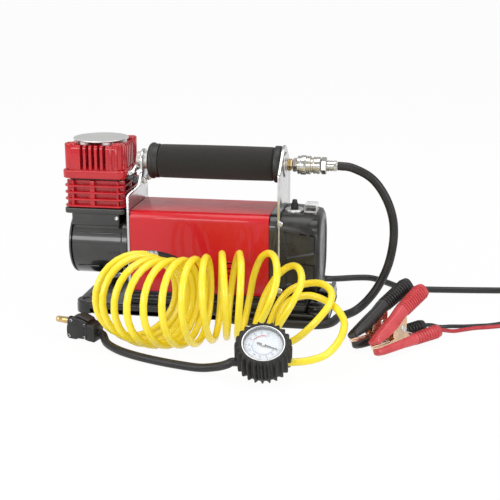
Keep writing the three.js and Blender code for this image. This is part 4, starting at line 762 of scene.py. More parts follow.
def mirrored(half):
    """Half an outline and its mirror image; a point on the middle line isn't doubled."""
    return half + [(-x, y) for x, y in reversed(half) if abs(x) > 1e-6]


def sliced(bm, point, normal, faces=()):
    """Cuts edges into a piece, or into some of its faces, where a plane passes."""
    faces = faces or bm.faces[:]
    near = {v for f in faces for v in f.verts} | {e for f in faces for e in f.edges} | set(faces)
    bmesh.ops.bisect_plane(bm, geom=list(near), dist=WELD, plane_co=Vector(point) / 1000,
                           plane_no=normal)


COVER_LEFT, COVER_RIGHT, COVER_HALF, COVER_FOOT, COVER_TOP = -68.5, 78.5, 38.5, 24.3, 110.3
FOLD, WALL = 9, 2
outer_line, inner_line = ([(COVER_HALF - wall, COVER_FOOT)] + arc(
    FOLD - wall, 0, 90, 12, COVER_HALF - FOLD, COVER_TOP - FOLD) for wall in (0, WALL))
shell = slab(mirrored(outer_line) + mirrored(inner_line)[::-1], COVER_RIGHT - COVER_LEFT,
             at(COVER_LEFT, 0, 0) @ TO_X, 0.45, 2, 60)
LOUVRE_LEFT, LOUVRE_RIGHT, LOUVRE_HALF = 33.9, 40.2, 0.9
LOUVRE_HEIGHTS = (58.8, 53.4, 48.0, 42.6)
for x in (LOUVRE_LEFT, LOUVRE_RIGHT):
    sliced(shell, (x, 0, 0), (1, 0, 0))
for z in LOUVRE_HEIGHTS:
    for edge in (-LOUVRE_HALF, LOUVRE_HALF):
        sliced(shell, (0, 0, z + edge), (0, 0, 1))
all_openings = []
for side in (-1, 1):
    for z in LOUVRE_HEIGHTS:
        openings = [f for f in shell.faces for centre in [f.calc_center_median() * 1000]
                    if f.normal.y ** 2 > 0.98 and LOUVRE_LEFT < centre.x < LOUVRE_RIGHT
                    and centre.y * side > 0 and abs(centre.z - z) < LOUVRE_HALF]
        bmesh.ops.bridge_loops(shell, edges=[e for f in openings for e in f.edges])
        all_openings += openings
bmesh.ops.delete(shell, geom=all_openings, context="FACES_ONLY")
louvres = [slab([(-3.4, -0.5), (-2.6, 1.3), (2.6, 1.3), (3.4, -0.5)], 0.9,
                at(37.05, y, z + LOUVRE_HALF) @ TO_FRONT, 0.3)
           for y in (-38.3, 39.2) for z in LOUVRE_HEIGHTS]
piece("motor_cover", merged(shell, *louvres), cover_enamel)


# ---------------------------------------------------------------- rear flange
# A black cast plate that carries the rear bearing and closes the cover; the
# motor shaft passes through it to the fan.
rear_flange = slab(rounded(77, 86, 15, 10, 0, AXIS), 8.2, at(78.8, 0, 0) @ TO_X, 1.1, 3, 50,
                   holes=[ring_of(11.2, 40, 0, AXIS)])
piece("rear_flange", rear_flange, cast_black)


# ---------------------------------------------------------------- brackets
# Two stampings in zinc plated sheet that stand on the skid and carry the grip;
# the left one is joggled over the crankcase flange and narrows to a lug.
zinc_plate = Finish("zinc_plate", (0.60, 0.60, 0.61), 0.24, Metallic=1.0)
spangle = zinc_plate.between(zinc_plate.cells(160), 0.1, 0.7)
zinc_plate.toned(spangle, (0.56, 0.56, 0.57), (0.68, 0.68, 0.68))
zinc_plate.wear("Roughness", 0.17 + zinc_plate.noise(300, 3, 0.6, (1, 1, 0.08)) * 0.16)
zinc_plate.grained(90, 3, 0.00012, 0.3)

SHEET, GRIP_HEIGHT = 2.5, 157
GRIP_LINE = at(0, 0, GRIP_HEIGHT) @ TO_X
tube_hole = ring_of(7.3, 32, 0, GRIP_HEIGHT)
bracket_holes = [tube_hole, ring_of(25, 56, 0, AXIS)]
right_half = [(37, COVER_FOOT), (37, 97.5), (38.5, 99.2), (38.5, 151.2), (38.1, 152.6),
              (37.0, 154.1)]
right_half += arc(20, 39.5, 90, 10, 0, GRIP_HEIGHT)
right_plate = slab(mirrored(right_half), SHEET, at(87.3, 0, 0) @ TO_X, 0.6, 2, 50,
                   holes=bracket_holes)
oval_boss = slab([(x * 15.2, GRIP_HEIGHT + y * 13.2) for x, y in ring_of(1, 48)], 1.5,
                 at(89.8, 0, 0) @ TO_X, 0.7, 3, 50, holes=[tube_hole])
left_half = [(38.5, COVER_FOOT), (38.5, 124.2), (38.1, 125.1), (37.2, 126.1), (15.6, 143.9),
             (13.7, 145.8), (12.8, 147.6), (12.5, 149.4)] + arc(12.5, 0, 90, 10, 0, GRIP_HEIGHT)
left_plate = slab(mirrored(left_half), SHEET, at(-71.3, 0, 0) @ TO_X, 0.6, 2, 50,
                  holes=bracket_holes)
JOGGLE_FOOT, JOGGLE_RISE, JOGGLE_REACH = 125.6, 10.0, 0.0085
for i in range(9):
    sliced(left_plate, (0, 0, 125.2 + 10.8 * i / 8), (0, 0, 1))
for vert in left_plate.verts:
    t = min(max((vert.co.z * 1000 - JOGGLE_FOOT) / JOGGLE_RISE, 0), 1)
    vert.co.x += JOGGLE_REACH * t * t * (3 - 2 * t)
gussets = [slab([(-60.4, 133.5), (-60.4, 141.5), (-57.2, 138.6), (-56.2, 135.0)], 3,
                at(0, y, 0) @ TO_FRONT, 0.6) for y in (-8, 11)]
piece("left_bracket", merged(left_plate, *gussets), zinc_plate)
piece("right_bracket", merged(right_plate, oval_boss), zinc_plate)


# ---------------------------------------------------------------- end cap
# Black moulded cap over the fan: it narrows to softer corners at its closed end,
# with two shallow sunk panels on the front and back and a raised rim on the end.
cap_plastic = Finish("cap_plastic", (0.036, 0.035, 0.034), 0.34, Specular_IOR_Level=0.55).weathered(
    (50, 5, 0.65), (0.012, 0.0115, 0.011), (0.032, 0.031, 0.029), 0.27, 0.2, (0.42, 0.75)
).grained(1300, 3, 0.0001, 0.5)

# station, how far the section is drawn in, and its corner radius
cap = lofted([(x, rounded(77 - 2 * inset, 86 - 2 * inset, radius, 12, 0, AXIS))
              for x, inset, radius in (
    (90.1, 0.4, 14.6), (90.6, 0, 15), (96, 0, 15.4), (110, 0.2, 18), (120, 0.4, 22),
    (126.2, 0.8, 26), (128.4, 1.6, 27.6), (129.8, 3.0, 28.4), (130.7, 4.8, 28.0), (131.0, 7.0, 27),
    (130.9, 9.4, 25.5), (130.0, 10.2, 25), (129.4, 11.4, 24))], TO_X)
bmesh.ops.delete(cap, geom=[f for f in cap.faces if f.normal.x < -0.99], context="FACES")
PANEL_SLOPE, PANEL_DEPTH, SIDE_WALL = 1.7, 0.0019, 0.022


def panels(inset):
    """The two panels of a side, drawn in by an inset."""
    inward = ((1, 1), (-1, 1), (-1, -1), (1, -1))
    return [[(x + a * inset, z + b * inset) for (x, z), (a, b) in zip(outline, inward)]
            for outline in (((97.6, 66.6), (126.4, 72), (126.4, 91.6), (93.8, 95.6)),
                            ((95, 38), (126.4, 40), (126.4, 60.6), (97.6, 63.6)))]


def within(outline, x, z):
    return all((b[0] - a[0]) * (z - a[1]) - (b[1] - a[1]) * (x - a[0]) > -1e-3
               for a, b in zip(outline, outline[1:] + outline[:1]))


for outline in panels(0) + panels(PANEL_SLOPE):
    for a, b in zip(outline, outline[1:] + outline[:1]):
        sliced(cap, (a[0], 0, a[1]), (b[1] - a[1], 0, a[0] - b[0]),
               [f for f in cap.faces if abs(f.calc_center_median().y) > SIDE_WALL])
for vert in cap.verts:
    if abs(vert.co.y) > SIDE_WALL and any(
            within(panel, vert.co.x * 1000, vert.co.z * 1000) for panel in panels(PANEL_SLOPE)):
        vert.co.y -= math.copysign(PANEL_DEPTH, vert.co.y)
# the open end is turned inwards, then run back up inside as the cap's inner wall
mouth = [e for e in cap.edges if e.is_boundary]
for across, reach in ((36 / 38.5, 90.1), (1, 127.2)):
    grown = bmesh.ops.extrude_edge_only(cap, edges=mouth)
    for vert in corners_of(grown):
        height = AXIS / 1000 + (vert.co.z - AXIS / 1000) * across
        vert.co = (reach / 1000, vert.co.y * across, height)
    mouth = [e for e in grown["geom"] if isinstance(e, bmesh.types.BMEdge) and e.is_boundary]
bmesh.ops.contextual_create(cap, geom=mouth)
piece("end_cap", cap, cap_plastic, smooth=30)

# Plated screws hold the cap's foot and shoulder to the bracket.
bracket_screws = [hex_socket_screw(at(90.3, side * 38.3, z) @ TO_SIDE[side], 2.9, 2.0)
                  for side in (-1, 1) for z in (31.7, 102.7)]
piece("bracket_screws", merged(*bracket_screws), zinc_plate)


# ---------------------------------------------------------------- reset button
# A ribbed black knob that pops up through a turned silver ring on the cap.
BUTTON = at(101, -8, 0)
button_ring = spun([(110.3, 4.3), (110.3, 10), (111.6, 10), (112.2, 9.7), (112.6, 9.0),
                    (112.6, 6.4), (111.8, 5.8), (111.8, 4.3), (110.3, 4.3)], BUTTON, 64)
piece("button_ring", button_ring, brushed_plate)
knob_plastic = Finish("knob_plastic", (0.016, 0.016, 0.016), 0.32).mottled(240, 0.25).grained(
    1200, 2, 0.00006, 0.5)
# height, radius and depth of the ribs
knob = lofted([(z, [(x * (r - rib * (i % 2)), y * (r - rib * (i % 2)))
                    for i, (x, y) in enumerate(ring_of(1, 36))]) for z, r, rib in (
    (104.3, 3.3, 0), (111.5, 3.3, 0), (112.0, 3.85, 0), (113.0, 3.9, 0.35), (117.4, 3.8, 0.35),
    (118.4, 3.5, 0.1), (118.7, 2.8, 0), (121.5, 2.6, 0), (122.1, 2.0, 0))], BUTTON)
piece("reset_button", knob, knob_plastic, "button", smooth=30)


# ---------------------------------------------------------------- power switch
# A pale moulded frame snapped into the cap, a black rocker on a cross pin and a
# clear splash hood over the left half.
frame_plastic = Finish("frame_plastic", (0.42, 0.41, 0.39), 0.4).mottled(180, 0.1).grained(
    900, 2, 0.00006, 0.4)
SWITCH = at(118.5, -8, 0)
window = [rounded(10.2, 17.2, 1.0, 4)[::-1]]
bezel = slab(rounded(13.6, 21, 2.0, 6), 2.2, SWITCH @ at(0, 0, 110.4), 0.5, 2, 50, holes=window)
well = slab(rounded(12.4, 19.6, 1.2, 4), 13.2, SWITCH @ at(0, 0, 96.6), 0.4, 2, 50, holes=window)
piece("switch_body", merged(bezel, well), frame_plastic)
rocker = slab([(-8.0, -1.2), (-8.0, 1.6), (-0.6, 0.5), (0.6, 0.5), (8.0, 1.6), (8.0, -1.2),
               (5, -4.4), (0, -5.6), (-5, -4.4)], 9.4,
              SWITCH @ at(0, 0, 111.2) @ turned_by(-11, "X") @ at(-4.7, 0, 0) @ TO_X, 0.5, 2, 40)
piece("switch_rocker", rocker, knob_plastic, "rocker", smooth=30)
hood_plastic = Finish("hood_plastic", (0.86, 0.87, 0.87), 0.12, Alpha=0.42).weathered(
    (260, 3, 0.6), (0.78, 0.79, 0.79), (0.92, 0.92, 0.92), 0.08, 0.2)
hood = slab(mirrored([(6.2, 0), (6.2, 5.4), (5.4, 6.4)])
            + mirrored([(5.6, 0), (5.6, 5.1), (5.0, 5.8)])[::-1],
            18.6, SWITCH @ at(0, 9.3, 112.5) @ TO_FRONT, 0.2, 2, 50)
piece("switch_hood", hood, hood_plastic)


# ---------------------------------------------------------------- grip
# A black foam sleeve on a plated tube, held between two moulded rings; the tube
# is hollow and carries the air from the pipe to the coupler.
handle_tube = spun([(-64.8, 3.6), (-64.8, 6.4), (-64.2, 7), (91.2, 7), (91.8, 6.4), (91.8, 3.6),
                    (-64.8, 3.6)], GRIP_LINE, 40)
tube_boss = spun([(-68.4, 7), (-68.4, 8.7), (-67.9, 9.2), (-55.2, 9.2), (-54.8, 8.8), (-54.8, 7),
                  (-68.4, 7)], GRIP_LINE)
tube_steel = Finish("tube_steel", (0.66, 0.65, 0.63), 0.45, Metallic=0.7).weathered(
    (120, 4, 0.6, (0.2, 1, 1)), (0.60, 0.59, 0.57), (0.74, 0.73, 0.71), 0.4, 0.2,
    relief=(0.00003, 0.3))
piece("handle_tube", merged(handle_tube, tube_boss), tube_steel)

foam_black = Finish("foam_black", (0.024, 0.023, 0.021), 0.86, Specular_IOR_Level=0.25,
                    Sheen_Weight=0.12, Sheen_Roughness=0.6)
pores = foam_black.between(foam_black.cells(1100), 0.05, 0.5)
draw_lines = foam_black.noise(260, 3, 0.6, (6, 1, 1))
foam_black.toned(pores, (0.005, 0.005, 0.004), (0.020, 0.018, 0.016))
foam_black.wear("Roughness", 0.78 + draw_lines * 0.2)
foam_black.relief(pores * 0.7 + draw_lines * 0.6, 0.00035, 0.8)
foam_profile = [(-43.1, 7.2), (-43.1, 16.4), (-42.6, 17.2), (-41.4, 17.6)]
foam_profile += [(-38 + 113.5 * i / 16, 17.65 + 0.25 * math.sin(math.pi * i / 16))
                 for i in range(17)]
foam_profile += [(76.6, 17.6), (77.8, 17.2), (78.3, 16.4), (78.3, 7.2), (-43.1, 7.2)]
piece("foam_grip", spun(foam_profile, GRIP_LINE, 72), foam_black, smooth=50)

ring_plastic = Finish("ring_plastic", (0.020, 0.020, 0.019), 0.45).mottled(140, 0.2).grained(
    900, 3, 0.00008, 0.5)
for name, profile in (
        ("left_grip_ring", [
            (-54.5, 7.2), (-54.5, 16.6), (-53.6, 18.0), (-52.2, 18.9), (-50.6, 19.2), (-49.4, 18.9),
            (-48.8, 18.2), (-48.0, 18.0), (-44.2, 18.0), (-43.6, 17.6), (-43.5, 16.8), (-43.5, 7.2),
            (-54.5, 7.2)]),
        ("right_grip_ring", [
            (78.7, 7.2), (78.7, 17.6), (79.2, 18.6), (80.2, 19.2), (84.4, 19.2), (85.8, 18.6),
            (86.5, 17.4), (86.7, 16), (86.7, 7.2), (78.7, 7.2)])):
    piece(name, spun(profile, GRIP_LINE, 64), ring_plastic)


# ---------------------------------------------------------------- air pipe
# Bright bent steel pipe from the side of the head into the end of the handle
# tube, with a flare nut at each end and a dark banjo block behind the bracket.
pipe_steel = Finish("pipe_steel", (0.80, 0.80, 0.79), 0.2, Metallic=1.0).weathered(
    (240, 4, 0.6), (0.70, 0.70, 0.69), (0.88, 0.88, 0.87), 0.14, 0.2, relief=(0.00003, 0.4))


def hexagon(across, length, place, chamfer=0.8):
    """A nut blank: six flats with turned ends; sizes in millimetres."""
    end = across * 0.9
    return lofted([(z, ring_of(r, 6)) for z, r in (
        (0, end), (chamfer, across), (length - chamfer, across), (length, end))], place)


def along(start, end):
    """The placement whose Z axis runs from one point to another, in millimetres."""
    turn = (Vector(end) - Vector(start)).to_track_quat("Z", "Y")
    return at(*start) @ turn.to_matrix().to_4x4()


pipe_line = smooth_line(millimetres([
    (-74.2, -19.2, 145.6), (-72.2, -18.8, 146.0), (-69.4, -16.5, 147.6), (-68.4, -12.5, 150.2),
    (-68.2, -7.8, 153.2), (-67.8, -3.4, 155.9), (-66.6, -0.8, 156.9), (-65.2, 0, 157)]))
tube_along("air_pipe", pipe_line, 0.0056, pipe_steel)
flare_nuts = [hexagon(4.6, (Vector(end) - Vector(start)).length, along(start, end), 0.5)
              for start, end in (((-73.9, -20.3, 144.9), (-71.6, -18.2, 146.1)),
                                 ((-68.3, -10.5, 151.5), (-67.2, -8.2, 153.2)))]
piece("flare_nuts", merged(*flare_nuts), pipe_steel)
banjo = merged(brick(-73.6, -66.4, -25.5, -16, 140.4, 144.2, 0.9, 3),
               brick(-67.8, -63.2, -24, -14.5, 136.4, 142.6, 0.9, 3))
piece("banjo", banjo, cast_black)


# ---------------------------------------------------------------- quick coupler
# Brass hexagon nipple, plated coupler with a grooved sliding sleeve, and the
# hexagon plug with its crimped ferrule on the leader hose.
brass = Finish("brass", (0.66, 0.47, 0.20), 0.26, Metallic=1.0).weathered(
    (120, 5, 0.65), (0.72, 0.53, 0.25), (0.50, 0.34, 0.13), 0.2, 0.22, (0.4, 0.75)
).grained(260, 3, 0.00005, 0.4)
nipple = hexagon(6.6, 4.6, GRIP_LINE @ at(0, 0, 92.2))
nipple_neck = spun([(91.9, 3.7), (91.9, 4.4), (97.0, 4.4), (97.5, 4.0), (97.5, 3.7)], GRIP_LINE, 32)
piece("outlet_nipple", merged(nipple, nipple_neck), brass)

coupler_plate = Finish("coupler_plate", (0.56, 0.54, 0.49), 0.24, Metallic=1.0).weathered(
    (70, 3), (0.62, 0.61, 0.58), (0.54, 0.50, 0.42), 0.16, 0.2, (0.4, 0.75)
).grained(320, 3, 0.00001, 0.15)
coupler_collar = hexagon(7.6, 4.4, GRIP_LINE @ at(0, 0, 97.9), 0.9)
coupler_barrel = spun([
    (97.8, 0), (97.8, 5.6), (98.4, 6.2), (102.2, 6.2), (102.6, 7.7), (118.8, 7.7), (119.3, 8.6),
    (119.9, 8.9), (121.4, 8.9), (121.8, 8.4), (122.5, 8.4), (122.9, 8.9), (125.9, 8.9),
    (126.8, 7.9), (126.8, 0)], GRIP_LINE, 56)
piece("coupler_body", merged(coupler_collar, coupler_barrel), coupler_plate,
      smooth=30)
sleeve = spun([
    (102.8, 8.05), (102.8, 8.9), (103.3, 9.6), (104.4, 9.7), (104.8, 9.1), (105.8, 9.1),
    (106.2, 10.0), (107.0, 10.2), (111.2, 10.2), (111.9, 9.9), (112.3, 9.2), (113.0, 9.2),
    (113.3, 9.7), (114.2, 9.7), (114.5, 9.2), (115.2, 9.2), (115.5, 9.8), (116.3, 9.8),
    (116.8, 9.2), (116.8, 8.05), (102.8, 8.05)], GRIP_LINE, 56)
piece("coupler_sleeve", sleeve, coupler_plate, "sleeve", smooth=30)
plug_hex = hexagon(8.9, 5.8, GRIP_LINE @ at(0, 0, 127.2) @ Matrix.Rotation(0.35, 4, "Z"), 1.0)
ferrule = spun([
    (132.6, 0), (132.6, 4.6), (133.4, 5.4), (134.4, 5.6), (135.6, 5.6), (136.0, 5.15),
    (136.9, 5.15), (137.3, 5.6), (138.6, 5.6), (139.0, 5.15), (139.9, 5.15), (140.3, 5.6),
    (142.6, 5.6), (143.5, 5.1), (143.5, 0)], GRIP_LINE, 40)
piece("hose_plug", merged(plug_hex, ferrule), coupler_plate, smooth=30)

# Crimped silver ferrule that joins the black leader to the yellow hose.
joint_start, joint_end = leader_line[-1] * 1000, coil_line[0] * 1000
reach = (joint_end - joint_start).length
crimp = spun([(-2, 4.5), (-2, 4.8), (-1.6, 5.0), (0.4, 5.0), (0.8, 4.7), (1.6, 4.7), (2.0, 4.9),
              (3.0, 4.9), (3.4, 4.4), (reach - 0.9, 4.3), (reach - 0.5, 4.0), (reach + 0.4, 4.0),
              (reach + 0.8, 4.3), (reach + 1.6, 4.2), (reach + 2.0, 3.8), (reach + 2.0, 3.5)],
             along(joint_start, joint_end), 36)
ferrule_steel = Finish("ferrule_steel", (0.36, 0.36, 0.36), 0.36, Metallic=1.0).weathered(
    (260, 4, 0.6), (0.28, 0.28, 0.28), (0.46, 0.46, 0.45), 0.28, 0.24)
hose_joint = piece("hose_joint", crimp, ferrule_steel)
line_length(leader_line)


# ---------------------------------------------------------------- gauge
# A round pressure gauge pushed into a thick rubber cup with 24 saw-shaped ribs,
# lying tilted on the ground; a plated manifold behind it takes both hoses.
GAUGE = at(100.6, -206.7, 35.4) @ turned_by(9.3) @ turned_by(34, "X")
guard_rubber = Finish("guard_rubber", (0.030, 0.029, 0.027), 0.55, Specular_IOR_Level=0.4
                      ).weathered((90, 5, 0.65), (0.009, 0.009, 0.008), (0.030, 0.028, 0.026),
                                  0.44, 0.28, (0.4, 0.72)).grained(1000, 3, 0.0001, 0.6)
RIBS, SAW, RIB_TWIST = 24, (0.0, 0.0, 0.02, 0.10, 0.45, 0.95, 1.0, 0.55), -0.002


def saw_ring(root, tip, turn):
    outline = []
    for i in range(RIBS * len(SAW)):
        a = 2 * math.pi * i / (RIBS * len(SAW)) + turn
        r = root + (tip - root) * SAW[i % len(SAW)]
        outline.append((r * math.cos(a), r * math.sin(a)))
    return outline


# height, and the radii of the ribs' roots and tips
cup = lofted([(z, saw_ring(root, tip, RIB_TWIST * z)) for z, root, tip in (
    (-15.9, 20.25, 20.25), (0.7, 20.25, 20.25), (1.1, 19.7, 19.7), (1.8, 19.8, 19.8),
    (2.2, 20.4, 20.4), (2.1, 21.2, 21.3), (1.4, 21.8, 23.2), (0.2, 22.1, 24.8), (-1.6, 22.3, 25.7),
    (-5, 22.4, 26), (-14, 22.4, 26), (-22, 22.4, 26), (-24.6, 22.3, 25.8), (-25.8, 22.0, 24.8),
    (-26, 21.4, 23.4))], GAUGE)
gauge_guard = piece("gauge_guard", cup, guard_rubber, smooth=42)

gauge_chrome = Finish("gauge_chrome", (0.80, 0.80, 0.79), 0.1, Metallic=1.0).weathered(
    (180, 4, 0.6), (0.55, 0.55, 0.54), (0.70, 0.70, 0.69), 0.06, 0.16, relief=(0.00003, 0.3))
case = spun([(-15.5, 0), (-15.5, 19.2), (-14.8, 20), (0.3, 20), (0.9, 19.85), (1.3, 19.4),
             (1.4, 19.0), (1.2, 18.5), (0.6, 18.2), (0.1, 18.1), (-2.7, 18.1), (-2.7, 0)],
            GAUGE, 72)
manifold = spun([(-26.6, 0), (-26.6, 2.8), (-21, 2.9), (-20.6, 4.3), (20.6, 4.3), (21, 2.9),
                 (26.6, 2.8), (26.6, 0)], GAUGE @ at(0, -6, -19.9) @ TO_X, 32)
spindle = spun([(-2.8, 0.9), (-0.8, 0.9), (-0.5, 0.6), (-0.5, 0)], GAUGE, 16)
gauge_case = piece("gauge_case", merged(case, manifold, spindle), gauge_chrome)

# The steel of the bezel's inner wall is made near black: painted shade for the shadow inside the
# bezel's rim.
inner_shade_steel = Finish("inner_shade_steel", (0.10, 0.10, 0.10), 0.2, Metallic=1.0).weathered(
    (140, 4, 0.6), (0.05, 0.05, 0.05), (0.13, 0.13, 0.125), 0.14, 0.2)
inner_ring = spun([(0.0, 18.08), (-0.55, 17.95), (-2.3, 17.2), (-2.6, 17.2), (-2.6, 18.08),
                   (0.0, 18.08)], GAUGE, 72)
gauge_inner_ring = piece("gauge_inner_ring", inner_ring, inner_shade_steel)

# The printed dial: a pale plate, a fine scale round it, plain numbers, and a red
# band over the last part of the scale.
dial_card = Finish("dial_card", (0.70, 0.74, 0.78), 0.5).grained(900, 2, 0.00002, 0.3)
card_drift = dial_card.patches((55, 4, 0.6), 0.35, 0.7)
dial_card.toned(card_drift, (0.62, 0.68, 0.74), (0.78, 0.80, 0.82))
dial = spun([(-2.55, 0), (-2.55, 17.15), (-2.45, 17.15), (-2.38, 17.0), (-2.38, 0)], GAUGE, 72)
gauge_dial = piece("gauge_dial", dial, dial_card)
ZERO, SWEEP, PRINT_LEVEL = -22, -270, -2.40


def dial_mark(inner, outer, wide, share):
    return slab([(inner, -wide / 2), (outer, -wide / 2), (outer, wide / 2), (inner, wide / 2)],
                0.06, turned_by(ZERO + SWEEP * share) @ at(0, 0, PRINT_LEVEL))


def dial_band(inner, outer, first, last):
    first, last = ZERO + SWEEP * first, ZERO + SWEEP * last
    return slab(arc(outer, first, last, 24) + arc(inner, first, last, 24)[::-1], 0.05,
                at(0, 0, PRINT_LEVEL))


def dial_number(text, x, y):
    letters = bpy.data.curves.new("number", "FONT")
    letters.body = text
    letters.size = 0.0027
    letters.align_x, letters.align_y = "CENTER", "CENTER"
    letters.extrude = 0.00002
    letters.resolution_u = 2
    stencil = bpy.data.objects.new("number", letters)
    bpy.context.collection.objects.link(stencil)
    shape = bpy.data.meshes.new_from_object(stencil)
    bpy.data.objects.remove(stencil)
    number = bmesh.new()
    number.from_mesh(shape)
    bpy.data.meshes.remove(shape)
    return placed(number, at(x, y, PRINT_LEVEL + 0.04) @ turned_by(113))


ink = [dial_mark(15.4 if i % 5 else 14.6, 16.5, 0.16 if i % 5 else 0.34, i / 50) for i in range(51)]
ink += [dial_mark(8.9 if i % 4 else 8.6, 9.6, 0.14, i / 32) for i in range(33)]
ink.append(dial_band(9.55, 9.75, 0, 1))
ink += [dial_number(str(15 * i), x, y)
        for i, (x, y) in enumerate(arc(12.5, ZERO, ZERO + SWEEP, 10))]
dial_ink = Finish("dial_ink", (0.07, 0.08, 0.11), 0.5).mottled(300, 0.3)
dial_red = Finish("dial_red", (0.50, 0.02, 0.04), 0.5).mottled(300, 0.2)
dial_blue = Finish("dial_blue", (0.10, 0.18, 0.42), 0.5).mottled(300, 0.2)
prints = [piece(name, placed(layer, GAUGE), finish) for name, layer, finish in (
    ("dial_ink", merged(*ink), dial_ink),
    ("dial_red", dial_band(10.1, 11.0, 0.71, 0.98), dial_red),
    ("dial_blue", dial_band(10.3, 10.7, 0.02, 0.6), dial_blue))]

# Black needle with a counterweight tail on a silver cap; it turns on the spindle.
needle_black = Finish("needle_black", (0.02, 0.02, 0.02), 0.4).mottled(300, 0.3).grained(
    900, 2, 0.00002, 0.4)
blade = slab([(-6, -0.9), (-5.2, -1.05), (-2.6, -0.75), (-1.4, -1.5), (1.4, -1.5), (2.6, -0.7),
              (9.0, -0.55), (13.4, -0.28), (14, 0), (13.4, 0.28), (9.0, 0.55), (2.6, 0.7),
              (1.4, 1.5), (-1.4, 1.5), (-2.6, 0.75), (-5.2, 1.05), (-6, 0.9)], 0.5,
             GAUGE @ turned_by(ZERO) @ at(0, 0, -1.6), 0.08, 1, holes=[ring_of(1.05, 16)])
gauge_needle = piece("gauge_needle", blade, needle_black, "needle")
cap_disc = spun([(-1.65, 1.02), (-1.65, 1.3), (-0.95, 1.5), (-0.75, 1.35), (-0.7, 1.02),
                 (-1.65, 1.02)], GAUGE, 32)
needle_cap = piece("needle_cap", cap_disc, gauge_chrome, "needle")

clear_glass = Finish("clear_glass", (0.96, 0.98, 0.98), 0.03, Alpha=0.1)
clear_glass.wear("Roughness", 0.01 + clear_glass.noise(90, 4, 0.6) * 0.06)
glass = spun([(-0.5, 0), (-0.5, 17.9), (-0.1, 18.0), (0.0, 17.8), (0.0, 0)], GAUGE, 72)
gauge_glass = piece("gauge_glass", glass, clear_glass)
line_length(air_line)


# ---------------------------------------------------------------- tyre chuck
# Two black moulded halves held by four bright screws, a brass stem for the tyre
# valve, a thumb lever on top and a square tail for the hose.
CHUCK = at(-107.9, -121.9, 0.2) @ turned_by(-14.5)
STEM_LINE = CHUCK @ at(0, 0, 16) @ TO_X
chuck_plastic = Finish("chuck_plastic", (0.024, 0.023, 0.023), 0.45).weathered(
    (110, 5, 0.65), (0.008, 0.008, 0.008), (0.026, 0.025, 0.024), 0.36, 0.28, (0.42, 0.72)
).grained(1100, 3, 0.0001, 0.6)


def block(outline, width, edge, segments=2, over=40, back=None):
    """A side view of the chuck given its width, about the middle or from its back."""
    back = width / 2 if back is None else back
    return slab(outline, width, CHUCK @ at(0, back, 0) @ TO_FRONT, edge, segments, over)


half_edge = [(0.2, 3.4), (0.8, 1.4), (2.5, 0.2), (10, 0), (11.6, 0.4), (13, 1.4), (24, 1.4),
             (24, 19.2), (20, 20.8), (16.8, 21.9), (13.5, 22.5), (8, 22.6), (5.6, 22.3),
             (3.6, 20.4), (2, 17.5), (0.6, 14), (0, 10.5), (0, 6.5)]
panel_edge = [(12 + (x - 12) * 0.72, 11 + (z - 11) * 0.72) for x, z in half_edge]
chuck_body = piece("chuck_body", merged(
    block(half_edge, 7.9, 1.3, 3, back=8.0), block(half_edge, 7.9, 1.3, 3, back=-0.1),
    block(panel_edge, 0.9, 0.6, back=-7.5),
    block([(23, 0.6), (31.6, 0), (33, 1), (33, 16), (31.4, 17.4), (23, 18.2)], 17.4, 1.5, 3),
    block([(22, 1.6), (24.2, 1.2), (24.2, 18.8), (22, 19.4)], 18, 0.8),
    spun([(-0.8, 3.75), (-0.8, 4.6), (-0.3, 5.0), (1.8, 5.0), (1.8, 3.75)], STEM_LINE, 32),
), chuck_plastic)
chuck_screws = piece("chuck_screws", merged(*[
    hex_socket_screw(CHUCK @ at(x, -7.6, z) @ TO_FRONT, 1.6, 0.9)
    for x, z in ((5.8, 19.4), (3.0, 3.4), (21.4, 16.4), (20.4, 3.6))]), bright_steel)
stem = spun([(-15.4, 2.42), (-15.4, 2.7), (-14.9, 3.05), (-12.8, 3.15), (-12.4, 2.95),
             (-11.6, 2.95), (-11.2, 3.2), (-5, 3.4), (-1.0, 3.6), (7.4, 3.6), (7.4, 2.2),
             (-3.4, 1.4), (-3.4, 2.42), (-15.4, 2.42)], STEM_LINE)
chuck_stem = piece("chuck_stem", stem, brass)
lever_plastic = Finish("lever_plastic", (0.034, 0.029, 0.025), 0.42).mottled(160, 0.25).grained(
    900, 3, 0.00008, 0.5)
lever = block([(10.5, 23.1), (13.6, 23.1), (20.2, 21.4), (24.4, 19.8), (25.2, 20.9), (24.4, 21.6),
               (20.6, 23.1), (17, 24.4), (13.8, 25.0), (11.6, 25.1), (10.6, 24.6)], 12, 0.5, 2, 30)
thumb_ribs = [block([(x, 23.0), (x + 1.0, 23.0), (x + 0.8, 24.9), (x + 0.2, 24.9)], 11, 0.2, 1, 30)
              for x in (14.4, 16.2)]
chuck_lever = piece("chuck_lever", merged(lever, *thumb_ribs), lever_plastic,
                    "lever")
line_length(chuck_line)


# ---------------------------------------------------------------- power lead fittings
# Tapered rubber strain relief with flexing grooves, pushed into the back of the
# end cap, and the moulded splitter where the jacket ends.
lead_relief = [(33.8, 0), (33.8, 5.0), (40.6, 5.0), (41.6, 6.0), (43.2, 6.0), (43.8, 5.2)]
for i in range(5):
    station, size = 44.6 + 3.4 * i, 5.0 - 0.2 * i
    lead_relief += [(station, size), (station + 1.9, size - 0.1), (station + 2.1, size - 0.8),
                    (station + 3.2, size - 0.85)]
lead_relief += [(61.8, 4.1), (62.4, 3.8), (62.4, 0)]
piece("strain_relief", spun(lead_relief, at(112, 0, 42) @ TO_BACK, 32), lead_rubber)
splitter = lofted([(z, rounded(width, height, radius, 5)) for z, width, height, radius in (
    (0, 7.6, 7.2, 3.4), (0.8, 8.6, 7.4, 3.4), (7, 10.4, 7.0, 3.2), (9.2, 10.4, 6.2, 2.8),
    (9.9, 9.2, 5.0, 2.2))], along((364.6, -3.9, 3.7), (357, -3.7, 3.6)))
lead_splitter = piece("lead_splitter", splitter, lead_rubber)
line_length(lead_line)


